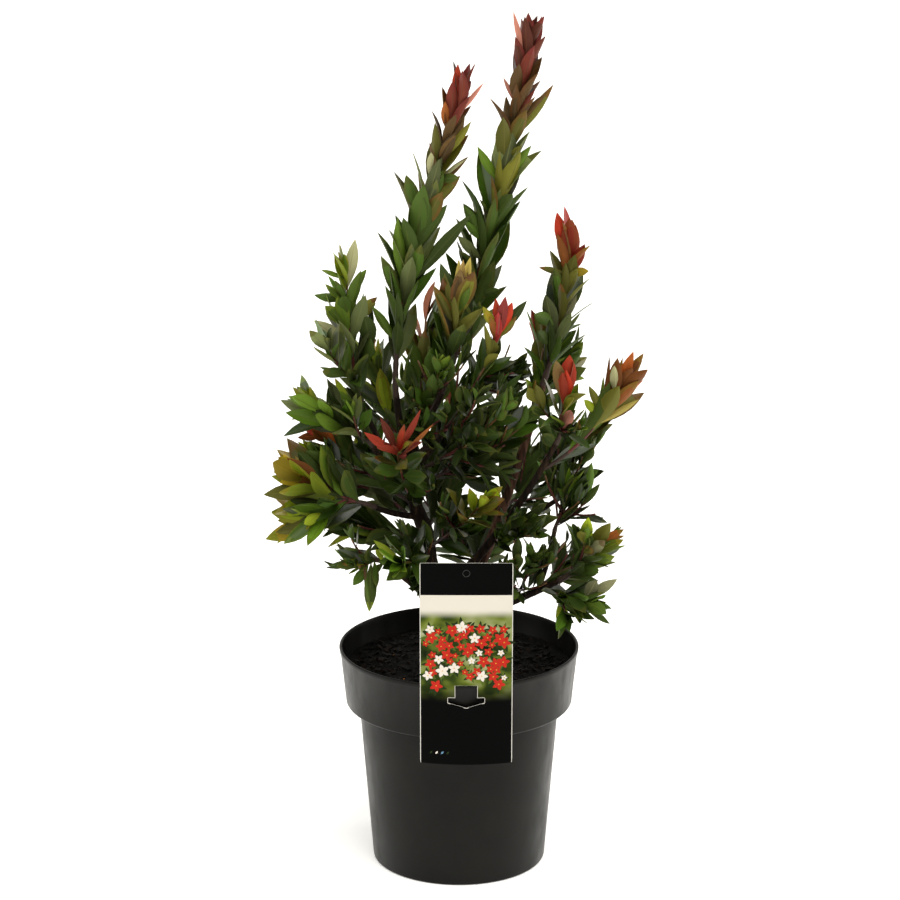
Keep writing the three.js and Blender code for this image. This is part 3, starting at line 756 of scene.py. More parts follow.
def own_space(shoot, space, clear, clear_of_sky):
    """Keeps what is nearer to a mass's own twigs than to any other mass's, and clear of limbs."""
    low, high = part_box("foliage_" + shoot.name)
    low = np.array(low) / MM - BOX_MARGIN
    high = np.array(high) / MM + BOX_MARGIN

    def keeps(points):
        p = np.asarray(points)
        if (p < low).any() or (p > high).any() or not clear_of_sky(p):
            return False
        gaps = space.distances(p)
        own = gaps[:, shoot.index] + LEAF_SPACE
        gaps[:, shoot.index] = np.inf
        return bool((gaps.min(1) > own).all()) and clear(p)

    return keeps


def leaf_outline(root, heading, side, length):
    """The points of a leaf that have to keep to its space."""
    half = side * length * OUTLINE_HALF
    middles = [root + heading * length * share for share in OUTLINE_SHARES]
    edges = [edge for middle in middles for edge in (middle + half, middle - half)]
    return [*edges, root + heading * length]


def place_leaf(shoot, twig, share, turn, open_angle, length, roll, keeps):
    """Adds a leaf, turned on round the twig and shortened a little until it keeps its space."""
    tangent = twig.curve.tangent(share)
    root = twig.curve.at(share)
    for attempt, turned_on in enumerate(LEAF_TRIES):
        across = across_twig(tangent, turn + math.radians(turned_on))
        heading = tangent * math.cos(open_angle) + across * math.sin(open_angle)
        heading.z += LEAF_RISE
        heading.normalize()
        side = tangent.cross(across).normalized()
        side.rotate(Matrix.Rotation(roll, 3, heading))
        tried = length * LEAF_SHORTENING**attempt
        if keeps(leaf_outline(root, heading, side, tried)):
            breadth = LEAF_BREADTH if shoot.habit["twigs"] else LEAF_BREADTH_BARE
            shoot.leaves.append(Leaf(root, heading, side, tried, breadth, twig.ripe * share))
            return


def leaves_along(shoot, twig, keeps):
    random = shoot.random
    habit = shoot.habit
    outside = shoot.name in OUTSIDE
    scale = OUTSIDE_SCALE if outside else 1
    full = habit["leaf"] * scale * (1, LEAF_ON_SIDE_TWIGS, FINE_LEAF)[twig.order]
    step = OUTSIDE_STEP if outside else LEAF_STEP if habit["twigs"] else LEAF_STEP_BARE
    step = FINE_STEP if twig.order == 2 else step
    count = max(FEWEST_LEAVES, round(twig.curve.length / step))
    for i in range(count + 1):
        share = lerp(TWIG_FIRST_LEAF, TWIG_LAST_LEAF, i / count)
        angle = habit["open"] * lerp(1, habit["closing"], share)
        open_angle = math.radians(varied(angle, LEAF_ANGLE_VARIES, random))
        grown = lerp(habit["youngest"], 1, math.sin(math.pi * min(1, share + LENGTH_PEAK)))
        length = varied(full * grown, LEAF_LENGTH_VARIES, random)
        roll = math.radians(LEAF_ROLL * (2 * random() - 1))
        turn = shoot.phase + i * GOLDEN_ANGLE
        place_leaf(shoot, twig, share, turn, open_angle, length, roll, keeps)
    for i in range(TUFT_LEAVES):
        angle = habit["open"] * habit["closing"] * lerp(*TUFT_OPEN, i / TUFT_LEAVES)
        open_angle = math.radians(angle)
        length = full * lerp(*TUFT_SCALE, i / TUFT_LEAVES)
        turn = shoot.phase + (count + 1 + i) * GOLDEN_ANGLE
        place_leaf(shoot, twig, 1.0, turn, open_angle, length, 0.0, keeps)


def accent_rows():
    """The rows of ACCENTS by the name of their mass."""
    rows, mass = {}, None
    for words in map(str.split, ACCENTS.splitlines()):
        if len(words) == 1:
            mass = rows.setdefault(words[0], [])
        elif words:
            *numbers, colour = words
            x, y, z, length, breadth = map(float, numbers)
            mass.append((Vector((x, y, z)), length, breadth, colour))
    return rows


ACCENT_AHEAD = 6  # mm of misfit in length that a leaf's turning off at a right angle counts as
ACCENT_STEPS = 40  # between places on a twig where a root can be
ACCENT_FACES = Vector((0, -1, 0.3))  # where the upper sides look


def add_accents(shoot, rows):
    shares = [i / ACCENT_STEPS for i in range(ACCENT_STEPS + 1)]
    curves = [twig.curve for twig in shoot.twigs]
    places = [(curve.at(share), curve.tangent(share)) for curve in curves for share in shares]
    for tip, length, breadth, colour in rows.get(shoot.name, ()):

        def misfit(place):
            root, tangent = place
            away = tip - root
            return abs(away.length - length) + ACCENT_AHEAD * (1 - away.normalized().dot(tangent))

        root, _ = min(places, key=misfit)
        heading = (tip - root).normalized()
        side = heading.cross(ACCENT_FACES).normalized()
        reach = (tip - root).length
        shoot.leaves.append(Leaf(root, heading, side, reach, breadth, colour=colour))


# ---------------------------------------------------------------- materials


def channels(hex_colour):
    return [int(hex_colour[i : i + 2], 16) for i in (0, 2, 4)]


def linear(hex_colour):
    """A colour such as "2b2b2c" as linear red, green, blue and alpha."""
    values = [channel / 255 for channel in channels(hex_colour)]
    return [*((v / 12.92 if v <= 0.04045 else ((v + 0.055) / 1.055) ** 2.4) for v in values), 1]


def mixed(hex_colour, other, share):
    """A colour that has moved towards another one, in hex."""
    pairs = zip(channels(hex_colour), channels(other))
    return "".join(f"{min(255, round(lerp(a, b, share))):02x}" for a, b in pairs)


def set_inputs(node, **inputs):
    """Gives inputs of a node their values, or links them where the value is an output."""
    for name, value in inputs.items():
        socket = node.inputs[name.replace("_", " ")]
        if isinstance(value, bpy.types.NodeSocket):
            node.id_data.links.new(value, socket)
        else:
            socket.default_value = value


def add_node(owner, kind, **inputs):
    """A shader node in the tree of a material or world."""
    node = owner.node_tree.nodes.new("ShaderNode" + kind)
    set_inputs(node, **inputs)
    return node


def shader_of(material):
    return material.node_tree.nodes["Principled BSDF"]


def plain_material(name, colour, roughness, **inputs):
    """A material whose colour and gloss are set on the shader's own sockets."""
    material = bpy.data.materials.new(name)
    material.use_nodes = True
    set_inputs(shader_of(material), Base_Color=linear(colour), Roughness=roughness, **inputs)
    return material


def noise_node(material, scale, detail, stretch=(1, 1, 1)):
    """The strength of a noise texture over the piece's own coordinates, as an output."""
    place = add_node(material, "TexCoord").outputs["Object"]
    vector = add_node(material, "Mapping", Vector=place, Scale=stretch).outputs["Vector"]
    texture = add_node(material, "TexNoise", Vector=vector, Scale=scale, Detail=detail)
    return texture.outputs["Fac"]


def grained_material(name, colour, roughness, grain, depth, strength=1.0, **inputs):
    """A plain material with a bump that is depth metres deep. grain is what noise_node takes."""
    material = plain_material(name, colour, roughness, **inputs)
    height = noise_node(material, *grain)
    bump = add_node(material, "Bump", Height=height, Distance=depth, Strength=strength)
    set_inputs(shader_of(material), Normal=bump.outputs["Normal"])
    return material


def add_ramp(material, factor, socket, stops):
    """Feeds a shader's socket from a factor through stops of (place, hex colour or grey value)."""
    ramp = add_node(material, "ValToRGB", Fac=factor)
    elements = ramp.color_ramp.elements
    while len(elements) < len(stops):
        elements.new(0.5)
    for element, (place, colour) in zip(elements, stops):
        element.position = place
        element.color = linear(colour) if isinstance(colour, str) else (colour, colour, colour, 1)
    set_inputs(shader_of(material), **{socket: ramp.outputs["Color"]})


BROWNED = ("brown", 0.05)  # a few leaves of any other colour have a brown tip

# The upper side of a leaf of each colour, then what it turns towards at the margins or the tip of
# some leaves, and their share.
LEAF_COLOURS = {
    "deep": ("26360c", "olive", 0.4),
    "green": ("304611", "olive", 0.5),
    "leaf": ("415912", "lime", 0.5),
    "lime": ("717f13", "gold", 0.5),
    "olive": ("4f4d14", "rust", 0.5),
    # A pale grey-green that is painted sheen, a highlight on glossy leaves.
    "sage": ("5c663a", "olive", 0.4),
    "gold": ("7d6911", "lime", 0.6),
    "bronze": ("412b14", "rust", 0.4),
    "brown": ("4e361c", "tan", 0.6),
    "tan": ("94773f", *BROWNED),
    "straw": ("b09c4a", *BROWNED),
    "fawn": ("8e8d68", *BROWNED),
    "rust": ("6e3511", "gold", 0.6),
    "orange": ("923f12", "gold", 0.5),
    "scarlet": ("80190d", "rust", 0.3),
    # A darker scarlet, painted shade on red leaves deep in the crown.
    "ruby": ("64130a", "rust", 0.3),
    "crimson": ("7c1c20", "pink", 0.3),
    "maroon": ("4a1610", "crimson", 0.5),
    "pink": ("ae695e", *BROWNED),
}
TOP, MIDRIB, UNDERSIDE = range(3)
# By side: a word for its materials, roughness, specular level, and a tint with its share.
LEAF_SIDES = (
    ("top", 0.3, 0.5, "000000", 0),
    ("midrib", 0.45, 0.2, "a8984c", 0.22),
    ("underside", 0.6, 0.14, "8a8c62", 0.16),
)
LEAF_GRAIN, LEAF_GRAIN_DEPTH, LEAF_GRAIN_STRENGTH = (900, 3), 0.0002, 0.6
# Lighter and darker copies of a colour are painted light and shade, with a random spread of tone.
LIT_AND_SHADED_TONES = (0.72, 0.95, 1.18, 1.42)  # a colour's darker to lighter leaves, from painted shade to painted light
USUAL_SHADE = 1
INSIDE_PAINTED_SHADE, OUTSIDE_PAINTED_LIGHT, SHADE_SPREAD = 0.5, 1.7, 0.75  # of a shade's number: painted shade inside, painted light outside, random spread
LEADER_PAINTED_LIGHT = 0.5  # more painted light on the leaders
LEADER_LIT_COLOURS = ("deep", "green", "leaf")  # for those painted lighter there
COLOUR_SPREAD = 0.4  # of a place in a mass's range of colours

# Zones of a leaf that turn, how far they do, and how often it begins at the margins.
MIDDLE, MARGINS, TIP, NO_ZONE = range(4)
TURNED_SHARE = {MARGINS: 0.45, TIP: 0.65}
FROM_MARGINS = 0.8


def leaf_material(colour, shade, side, other=None, share=0):
    """A leaf's material, made when first asked for. share is how far it has turned to other."""
    word, roughness, specular, *tint = LEAF_SIDES[side]
    name = f"leaf_{colour}_{other or shade}_{word}" + (f"_{share:.2f}" if other else "")
    if name in bpy.data.materials:
        return bpy.data.materials[name]
    hex_colour = mixed("000000", LEAF_COLOURS[colour][0], LIT_AND_SHADED_TONES[shade])
    if other:
        hex_colour = mixed(LEAF_COLOURS[colour][0], LEAF_COLOURS[other][0], share)
    return grained_material(
        name,
        mixed(hex_colour, *tint),
        roughness,
        LEAF_GRAIN,
        LEAF_GRAIN_DEPTH,
        LEAF_GRAIN_STRENGTH,
        Specular_IOR_Level=specular,
    )


# ---------------------------------------------------------------- meshes


def add_object(name, data, location=(0, 0, 0), rotation=(0, 0, 0)):
    thing = bpy.data.objects.new(name, data)
    thing.location = location
    thing.rotation_euler = rotation
    bpy.context.scene.collection.objects.link(thing)
    return thing


def make_piece(name, vertices, faces, materials, face_materials=None, sharp_angle=None):
    """A mesh object from points in millimetres, riding on the plant's one body."""
    mesh = bpy.data.meshes.new(name)
    mesh.from_pydata((np.asarray(vertices) * MM).tolist(), [], faces)
    for material in materials:
        mesh.materials.append(material)
    if face_materials is not None:
        mesh.polygons.foreach_set("material_index", np.asarray(face_materials, np.int32))
    mesh.polygons.foreach_set("use_smooth", np.ones(len(mesh.polygons), bool))
    if sharp_angle is not None:
        mesh.set_sharp_from_angle(angle=math.radians(sharp_angle))
    mesh.validate()
    mesh.update()
    piece = add_object(name, mesh)
    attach(piece, "root")
    return piece


def stand_for(piece, slot, *nodes):
    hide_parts(*nodes)


def apply_modifier(piece, kind, **settings):
    modifier = piece.modifiers.new(kind, kind)
    for name, value in settings.items():
        setattr(modifier, name, value)
    bpy.context.view_layer.objects.active = piece
    bpy.ops.object.modifier_apply(modifier=modifier.name)


def cut_with(piece, cutter):
    """Subtracts the cutter from the piece, and removes the cutter."""
    apply_modifier(piece, "BOOLEAN", object=cutter, operation="DIFFERENCE", solver="EXACT")
    bpy.data.objects.remove(cutter)


class MeshParts:
    """Vertices, faces and material numbers that are gathered before one mesh is made."""

    def __init__(self):
        self.vertices = []
        self.faces = []
        self.slots = []
        self.count = 0

    def add(self, vertices, faces, slots):
        vertices = np.asarray(vertices)
        self.vertices.append(vertices)
        self.faces += [[v + self.count for v in face] for face in faces]
        self.slots += slots if isinstance(slots, list) else [slots] * len(faces)
        self.count += len(vertices)

    def piece(self, name, materials, sharp_angle=None):
        vertices = np.concatenate(self.vertices)
        return make_piece(name, vertices, self.faces, materials, self.slots, sharp_angle)


def frames_along(points):
    """Two directions across a line at each of its points, with no needless turning."""
    tangents = np.gradient(points, axis=0)
    tangents /= np.linalg.norm(tangents, axis=1)[:, None]
    axis = (0, 1, 0) if abs(tangents[0][1]) < NEARLY_ONE else (1, 0, 0)
    across = np.cross(tangents[0], axis)
    normals = []
    for tangent in tangents:
        across = across - tangent * (across @ tangent)
        across /= np.linalg.norm(across)
        normals.append(across)
    normals = np.array(normals)
    return normals, np.cross(tangents, normals)


def tube_faces(rings, sides):
    """Quads of a tube, with a flat cap at both ends."""
    faces = []
    for start in range(0, (rings - 1) * sides, sides):
        for j in range(sides):
            k = (j + 1) % sides
            faces.append([start + j, start + k, start + sides + k, start + sides + j])
    faces.append(list(range(sides))[::-1])
    faces.append([(rings - 1) * sides + j for j in range(sides)])
    return faces


def turns(count):
    return 2 * np.pi * np.arange(count) / count


def tube(points, radii, sides):
    """Vertices of a tube along points. radii has one value for each ring, or each vertex."""
    points = np.asarray(points, float)
    normals, binormals = frames_along(points)
    cosines, sines = np.cos(turns(sides))[:, None], np.sin(turns(sides))[:, None]
    radii = np.asarray(radii, float)
    radii = radii[:, None] if radii.ndim == 1 else radii
    outwards = normals[:, None] * cosines + binormals[:, None] * sines
    return (points[:, None] + outwards * radii[..., None]).reshape(-1, 3)


# ---------------------------------------------------------------- leaves as meshes

# Shares of the length where a leaf has a ring of points, and its half width there over its widest.
LEAF_STATIONS = np.array([0.0, 0.06, 0.18, 0.34, 0.5, 0.66, 0.8, 0.92])
LEAF_WIDTHS = np.array([0.09, 0.14, 0.46, 0.81, 1.0, 0.95, 0.68, 0.31])
LEAF_RINGS = len(LEAF_STATIONS)
TURNING_RINGS = {MARGINS: 3, TIP: 6}  # the ring that each zone begins at
RIB_HALF = 0.05  # the midrib's half width over the blade's half width
# Where the points of a ring are across the blade: six above from margin to margin, four beneath.
ACROSS = np.array([-1, -0.8, -RIB_HALF, RIB_HALF, 0.8, 1, 0.6, RIB_HALF, -RIB_HALF, -0.6])
RING = len(ACROSS)
LEFT_MARGIN, RIGHT_MARGIN = 0, 5  # points of a ring
FACE_SIDES = (TOP, TOP, MIDRIB, TOP, TOP, UNDERSIDE, UNDERSIDE, MIDRIB, UNDERSIDE, UNDERSIDE)
MARGIN_FACES = (0, 4, 5, 9)

# How leaves differ: ranges of width and fold, and the spread of arch and sway (over the length)
# and of twist, in radians.
WIDTH_RANGE, FOLD_RANGE = (0.86, 1.14), (0.12, 0.6)
ARCH_SPREAD, SWAY_SPREAD, TWIST_SPREAD = 0.12, 0.035, 0.28
FOLD_POWER = 1.5


def leaf_faces():
    """The faces of one leaf, and the side and the zone of each."""
    faces, sides, zones = [], [], []
    for i in range(LEAF_RINGS):
        for j in range(RING):
            a, b = i * RING + j, i * RING + (j + 1) % RING
            last = i + 1 == LEAF_RINGS
            faces.append([a, b, LEAF_RINGS * RING] if last else [a, b, b + RING, a + RING])
            sides.append(FACE_SIDES[j])
            margin = i >= TURNING_RINGS[MARGINS] and j in MARGIN_FACES
            zones.append(TIP if i >= TURNING_RINGS[TIP] else MARGINS if margin else MIDDLE)
    faces.append(list(range(RING))[::-1])
    return faces, np.array([*sides, UNDERSIDE]), np.array([*zones, MIDDLE])


def leaf_vertices(leaves, random):
    """Points of all leaves: each blade folds up along its midrib, arches and twists a little."""
    count = len(leaves)
    words = ("root", "heading", "side", "length", "breadth")
    root, heading, side, length, breadth = (
        np.array([getattr(leaf, word) for leaf in leaves]) for word in words
    )
    upper = np.cross(heading, side)
    half = (length * breadth / 2 * random.uniform(*WIDTH_RANGE, count))[:, None, None]
    fold = random.uniform(*FOLD_RANGE, count)[:, None, None]
    arch = random.normal(0, ARCH_SPREAD, count)
    sway = random.normal(0, SWAY_SPREAD, count)
    twist = random.normal(0, TWIST_SPREAD, count)
    stations = np.append(LEAF_STATIONS, 1.0)
    widths = np.append(LEAF_WIDTHS, 0.0)[:, None]
    rise = np.clip((np.abs(ACROSS) - RIB_HALF) / (1 - RIB_HALF), 0, 1) ** FOLD_POWER
    under = np.where(np.arange(RING) > RIGHT_MARGIN, LEAF_THICKNESS, 0)
    flat = half * widths * ACROSS
    lifted = fold * half * widths * rise - under * np.minimum(1, widths * 3)
    angle = (twist[:, None] * stations)[..., None]
    bend = (stations**2)[:, None]
    y = flat * np.cos(angle) - lifted * np.sin(angle) + (sway * length)[:, None, None] * bend
    z = flat * np.sin(angle) + lifted * np.cos(angle) + (arch * length)[:, None, None] * bend
    x = np.broadcast_to((length[:, None] * stations)[..., None], y.shape)
    world = root[:, None, None]
    for along, axis in ((x, heading), (y, side), (z, upper)):
        world = world + along[..., None] * axis[:, None, None]
    blades = world[:, :LEAF_RINGS].reshape(count, LEAF_RINGS * RING, 3)
    tips = world[:, LEAF_RINGS, 2:3]
    return np.concatenate([blades, tips], axis=1)


def within(value, count):
    """The nearest whole number, kept to the places of a row of that many."""
    return int(min(max(round(value), 0), count - 1))


def leaf_colour(shoot, leaf, random):
    """The name of a leaf's colour, further on in its mass's range the nearer the tip."""
    place = leaf.ripe * (len(shoot.colours) - 1) + random.normal(0, COLOUR_SPREAD)
    return leaf.colour or shoot.colours[within(place, len(shoot.colours))]


def turned(colour, random):
    """What a leaf's colour turns towards, and the first zone that it does so in."""
    _, other, share = LEAF_COLOURS[colour]
    if random.random() < share:
        margins = other != BROWNED[0] and random.random() < FROM_MARGINS
        return other, MARGINS if margins else TIP
    return None, NO_ZONE


def leaves_piece(shoot):
    random = np.random.default_rng(SEED + shoot.index)
    leaves = shoot.leaves
    vertices = leaf_vertices(leaves, random)
    faces, sides, zones = leaf_faces()
    materials, numbers = [], {}
    slots = np.zeros((len(leaves), len(faces)), np.int32)
    for i, leaf in enumerate(leaves):
        colour = leaf_colour(shoot, leaf, random)
        other, first_zone = turned(colour, random)
        # The shade is painted light: darker at a stem's foot inside the crown, lighter at its tip
        # and on the leaders' greens.
        shade = lerp(INSIDE_PAINTED_SHADE, OUTSIDE_PAINTED_LIGHT, leaf.ripe) + random.normal(0, SHADE_SPREAD)
        shade += LEADER_PAINTED_LIGHT * (colour in LEADER_LIT_COLOURS and shoot.habit in (LEADER, UPRIGHT))
        shade = within(shade, len(LIT_AND_SHADED_TONES))
        for side in (TOP, MIDRIB, UNDERSIDE):
            plain = leaf_material(colour, USUAL_SHADE if side == MIDRIB else shade, side)
            turning = plain
            if other:
                share = TURNED_SHARE[first_zone]
                turning = leaf_material(colour, USUAL_SHADE, side, other, share)
            for material, chosen in ((plain, zones < first_zone), (turning, zones >= first_zone)):
                if material.name not in numbers:
                    numbers[material.name] = len(materials)
                    materials.append(material)
                slots[i, (sides == side) & chosen] = numbers[material.name]
    each = vertices.shape[1]
    all_faces = [[v + i * each for v in face] for i in range(len(leaves)) for face in faces]
    name = "leaves_" + shoot.name
    piece = make_piece(name, vertices.reshape(-1, 3), all_faces, materials, slots.ravel())
    mark_margins(piece.data, each)
    stand_for(piece, "foliage", "foliage_" + shoot.name)


def mark_margins(mesh, each):
    """The margins are sharp, so that a blade's upper and lower sides are shaded apart."""
    ends = np.zeros(len(mesh.edges) * 2, np.int32)
    mesh.edges.foreach_get("vertices", ends)
    place = ends.reshape(-1, 2) % each
    at_tip = place == each - 1
    left, right = (
        (at_tip | (place % RING == margin)).all(1) for margin in (LEFT_MARGIN, RIGHT_MARGIN)
    )
    attribute = mesh.attributes.new("sharp_edge", "BOOLEAN", "EDGE")
    attribute.data.foreach_set("value", left | right)


# ---------------------------------------------------------------- twigs as meshes

TWIG_SIDES = 7
TWIG_RING_STEP, TWIG_FEWEST_RINGS = 3, 5
TWIG_TIP_RADIUS, TWIG_TAPER_POWER = 0.7, 0.85
TWIG_SUNK = 2  # the length of a stem inside its host
KNOT_SHARE, KNOT_STEP = 0.08, 2.1  # how much a twig swells, and radians from ring to ring
AGE_BY_ORDER = 0.25  # younger with each order of twig
RED_WOOD_AGE, GREEN_WOOD_AGE = 0.3, 0.72  # where each begins
WOODS = (("old_wood", "36241b", 0.75), ("red_wood", "54201a", 0.6), ("green_wood", "6a4a26", 0.5))


def twigs_piece(shoot, materials):
    """The stem and twigs of one mass: woody at the foot, and like young wood at the tips."""
    parts = MeshParts()
    for twig in shoot.twigs:
        rings = max(TWIG_FEWEST_RINGS, round(twig.curve.length / TWIG_RING_STEP))
        shares = [i / (rings - 1) for i in range(rings)]
        points = [twig.curve.at(share) for share in shares]
        if twig.order == 0:
            points.insert(0, points[0] - twig.curve.tangent(0) * TWIG_SUNK)
            shares.insert(0, 0.0)
        radii = [
            lerp(twig.base_radius, TWIG_TIP_RADIUS, share**TWIG_TAPER_POWER)
            * (1 + KNOT_SHARE * math.sin(i * KNOT_STEP))
            for i, share in enumerate(shares)
        ]
        ages = [share * twig.ripe + AGE_BY_ORDER * twig.order for share in shares]
        woods = [(age >= RED_WOOD_AGE) + (age >= GREEN_WOOD_AGE) for age in ages]
        slots = [wood for wood in woods[:-1] for _ in range(TWIG_SIDES)]
        faces = tube_faces(len(points), TWIG_SIDES)
        parts.add(tube(points, radii, TWIG_SIDES), faces, [*slots, woods[0], woods[-1]])
    piece = parts.piece("twigs_" + shoot.name, materials)
    stand_for(piece, "foliage", "foliage_" + shoot.name)


def twig_materials():
    grain = (500, 4, (1, 1, 0.3))
    return [
        grained_material("twig_" + name, colour, roughness, grain, 0.0003)
        for name, colour, roughness in WOODS
    ]


# ---------------------------------------------------------------- bark

BARK_DEPTH = 0.9  # of the fissures on the trunk, in mm
BARK_SUNK = 0.2  # how far the relief's middle lies below the limb's surface
BARK_STEP = 1.5  # between rings
TRUNK_SIDES, BOUGH_SIDES = 48, 24
FISSURE_SHARE, GRAIN_SHARE = 0.55, 0.3  # of the depth
FISSURE_NOISE, GRAIN_NOISE = (0.34, 0.07), (1.3, 0.25, (9, 4, 2))  # across, along, offset
KNOT_DEPTH = 0.05  # over the limb's radius
KNOT_NOISE, KNOT_OFFSET = 0.11, Vector((3, 7, 5))
BARK_STOPS = (0.3, 0.48, 0.62, 0.78)
BARK_DARK = ("0d0906", "1a110b", "2e2015", "493b2b")
BARK_PINK = ("24160f", "483024", "684a3a", "886e5c")


def noise_at(point, across, along, offset=(0, 0, 0)):
    """Noise that is stretched along z where along is less than across."""
    place = Vector((point.x * across, point.y * across, point.z * along))
    return noise.noise(place + Vector(offset))


def bark_height(point, radius):
    """The relief of stringy bark: long plates, with fissures between them and fine grain on top."""
    fissures = 1 - 2 * abs(noise_at(point, *FISSURE_NOISE))
    grain = noise_at(point, *GRAIN_NOISE)
    knots = noise.noise(point * KNOT_NOISE + KNOT_OFFSET)
    depth = BARK_DEPTH * radius / TRUNK_THICK
    return depth * (FISSURE_SHARE * fissures + GRAIN_SHARE * grain) + KNOT_DEPTH * radius * knots


def bark_piece(limb, material):
    sides = TRUNK_SIDES if limb.name == "trunk" else BOUGH_SIDES
    rings = round(limb.curve.length / BARK_STEP)
    shares = np.linspace(0, 1, rings)
    points = np.array([limb.curve.at(share) for share in shares])
    radii = np.array([limb.radius_at(share) for share in shares])
    smooth = tube(points, radii, sides).reshape(rings, sides, 3)
    relief = [[bark_height(Vector(p), r) for p in ring] for ring, r in zip(smooth, radii)]
    vertices = tube(points, radii[:, None] + np.array(relief) - BARK_SUNK, sides)
    if limb.name == "trunk":
        vertices[:, 2] = np.maximum(vertices[:, 2], MIX_SURFACE + GAP)
        vertices[:sides, 2] = MIX_SURFACE + GAP
    piece = make_piece("bark_" + limb.name, vertices, tube_faces(rings, sides), [material])
    stand_for(piece, "bark", limb.name)


def bark_material(name, colours):
    grain = (700, 5, (1, 1, 0.25))
    material = grained_material(name, colours[1], 0.85, grain, 0.0006, Specular_IOR_Level=0.15)
    strands = noise_node(material, 260, 6, (1, 1, 0.2))
    add_ramp(material, strands, "Base_Color", list(zip(BARK_STOPS, colours)))
    return material


# ---------------------------------------------------------------- pot

POT_SEGMENTS = 160
CUTTER_SIDES = 32
POT_SHARP_ANGLE = 40
POT_ROLL = 1.2  # radius of the lip's rounded top


def arc(centre, radius, start, end, steps):
    """Points of an arc in the profile's plane, with angles in degrees."""
    angles = [math.radians(lerp(start, end, i / steps)) for i in range(steps + 1)]
    return [(centre[0] + radius * math.cos(a), centre[1] + radius * math.sin(a)) for a in angles]


def lathe(profile, segments):
    """A closed surface of revolution, from a profile that starts and ends on the axis."""
    vertices = [(0, 0, profile[0][1])]
    for radius, height in profile[1:-1]:
        vertices += [(radius * math.cos(t), radius * math.sin(t), height) for t in turns(segments)]
    vertices.append((0, 0, profile[-1][1]))
    last = len(vertices) - 1
    top = last - segments
    faces = []
    for j in range(segments):
        k = (j + 1) % segments
        faces.append([0, 1 + k, 1 + j])
        for a in range(1, top, segments):
            faces.append([a + j, a + k, a + segments + k, a + segments + j])
        faces.append([top + j, top + k, last])
    return np.array(vertices), faces


COLLAR = POT_HEIGHT - POT_COLLAR_HEIGHT  # the height of its lower edge


def inner_radius(height):
    if height > COLLAR + POT_WALL:
        share = (height - COLLAR) / POT_COLLAR_HEIGHT
        return lerp(POT_COLLAR_BOTTOM, POT_COLLAR_TOP, share) - POT_WALL
    return lerp(POT_BASE, POT_BODY_TOP, height / COLLAR) - POT_WALL


def pot_profile():
    """Flat foot, tapered body, a collar with rounded edges, and a thin rolled lip."""
    lip = POT_HEIGHT - POT_LIP_HEIGHT
    ledge = COLLAR + POT_WALL
    return [
        (0, 0),
        (POT_BASE - 8, 0),
        (POT_BASE - 7, 0.6),
        (POT_BASE - 4, 0.6),
        *arc((POT_BASE - 2.4, 2.4), 2.4, -90, -8, 5),
        (POT_BODY_TOP - 0.2, COLLAR - 1.4),
        *arc((POT_BODY_TOP + 1.2, COLLAR - 1.4), 1.2, 180, 95, 3),
        *arc((POT_COLLAR_BOTTOM - 2.6, COLLAR + 2.6), 2.6, -90, -6, 5),
        (POT_COLLAR_TOP - 0.1, lip - 0.4),
        (POT_LIP_RADIUS - 0.3, lip + 0.3),
        *arc((POT_LIP_RADIUS - POT_ROLL, POT_HEIGHT - POT_ROLL), POT_ROLL, 0, 180, 8),
        (inner_radius(lip) + 0.2, lip - 0.6),
        (POT_COLLAR_BOTTOM - POT_WALL, ledge + 1.5),
        (POT_COLLAR_BOTTOM - POT_WALL - 1.5, ledge),
        (POT_BODY_TOP - POT_WALL + 0.8, ledge),
        (POT_BODY_TOP - POT_WALL, ledge - 1),
        (inner_radius(POT_FLOOR), POT_FLOOR + 1),
        (inner_radius(POT_FLOOR) - 1, POT_FLOOR),
        (0, POT_FLOOR),
    ]


def pot_piece():
    vertices, faces = lathe(pot_profile(), POT_SEGMENTS)
    piece = make_piece("nursery_pot", vertices, faces, [pot_material()])
    parts = MeshParts()
    heights = (-DRAIN_RADIUS, 0, 2 * POT_FLOOR)
    for index in range(DRAIN_COUNT):
        turn = 2 * math.pi * (index + 0.5) / DRAIN_COUNT
        x, y = DRAIN_RING * math.cos(turn), DRAIN_RING * math.sin(turn)
        cutter = tube([(x, y, z) for z in heights], [DRAIN_RADIUS] * len(heights), CUTTER_SIDES)
        parts.add(cutter, tube_faces(len(heights), CUTTER_SIDES), 0)
    cut_with(piece, parts.piece("drain_cutter", []))
    piece.data.set_sharp_from_angle(angle=math.radians(POT_SHARP_ANGLE))
    stand_for(piece, "pot", "pot")


def pot_material():
    """Plastic near to black, a little mottled, with scuffs that vary its gloss."""
    grain = (1400, 2)
    material = grained_material(
        "pot_plastic", "0b0a08", 0.36, grain, 0.00012, 0.5, Specular_IOR_Level=0.13
    )
    mottle = [(0.3, "080705"), (0.55, "0c0b08"), (0.8, "12100c")]
    add_ramp(material, noise_node(material, 34, 5), "Base_Color", mottle)
    scuffs = noise_node(material, 90, 6, (1, 1, 0.4))
    add_ramp(material, scuffs, "Roughness", [(0.35, 0.3), (0.7, 0.44)])
    return material


# ---------------------------------------------------------------- potting mix

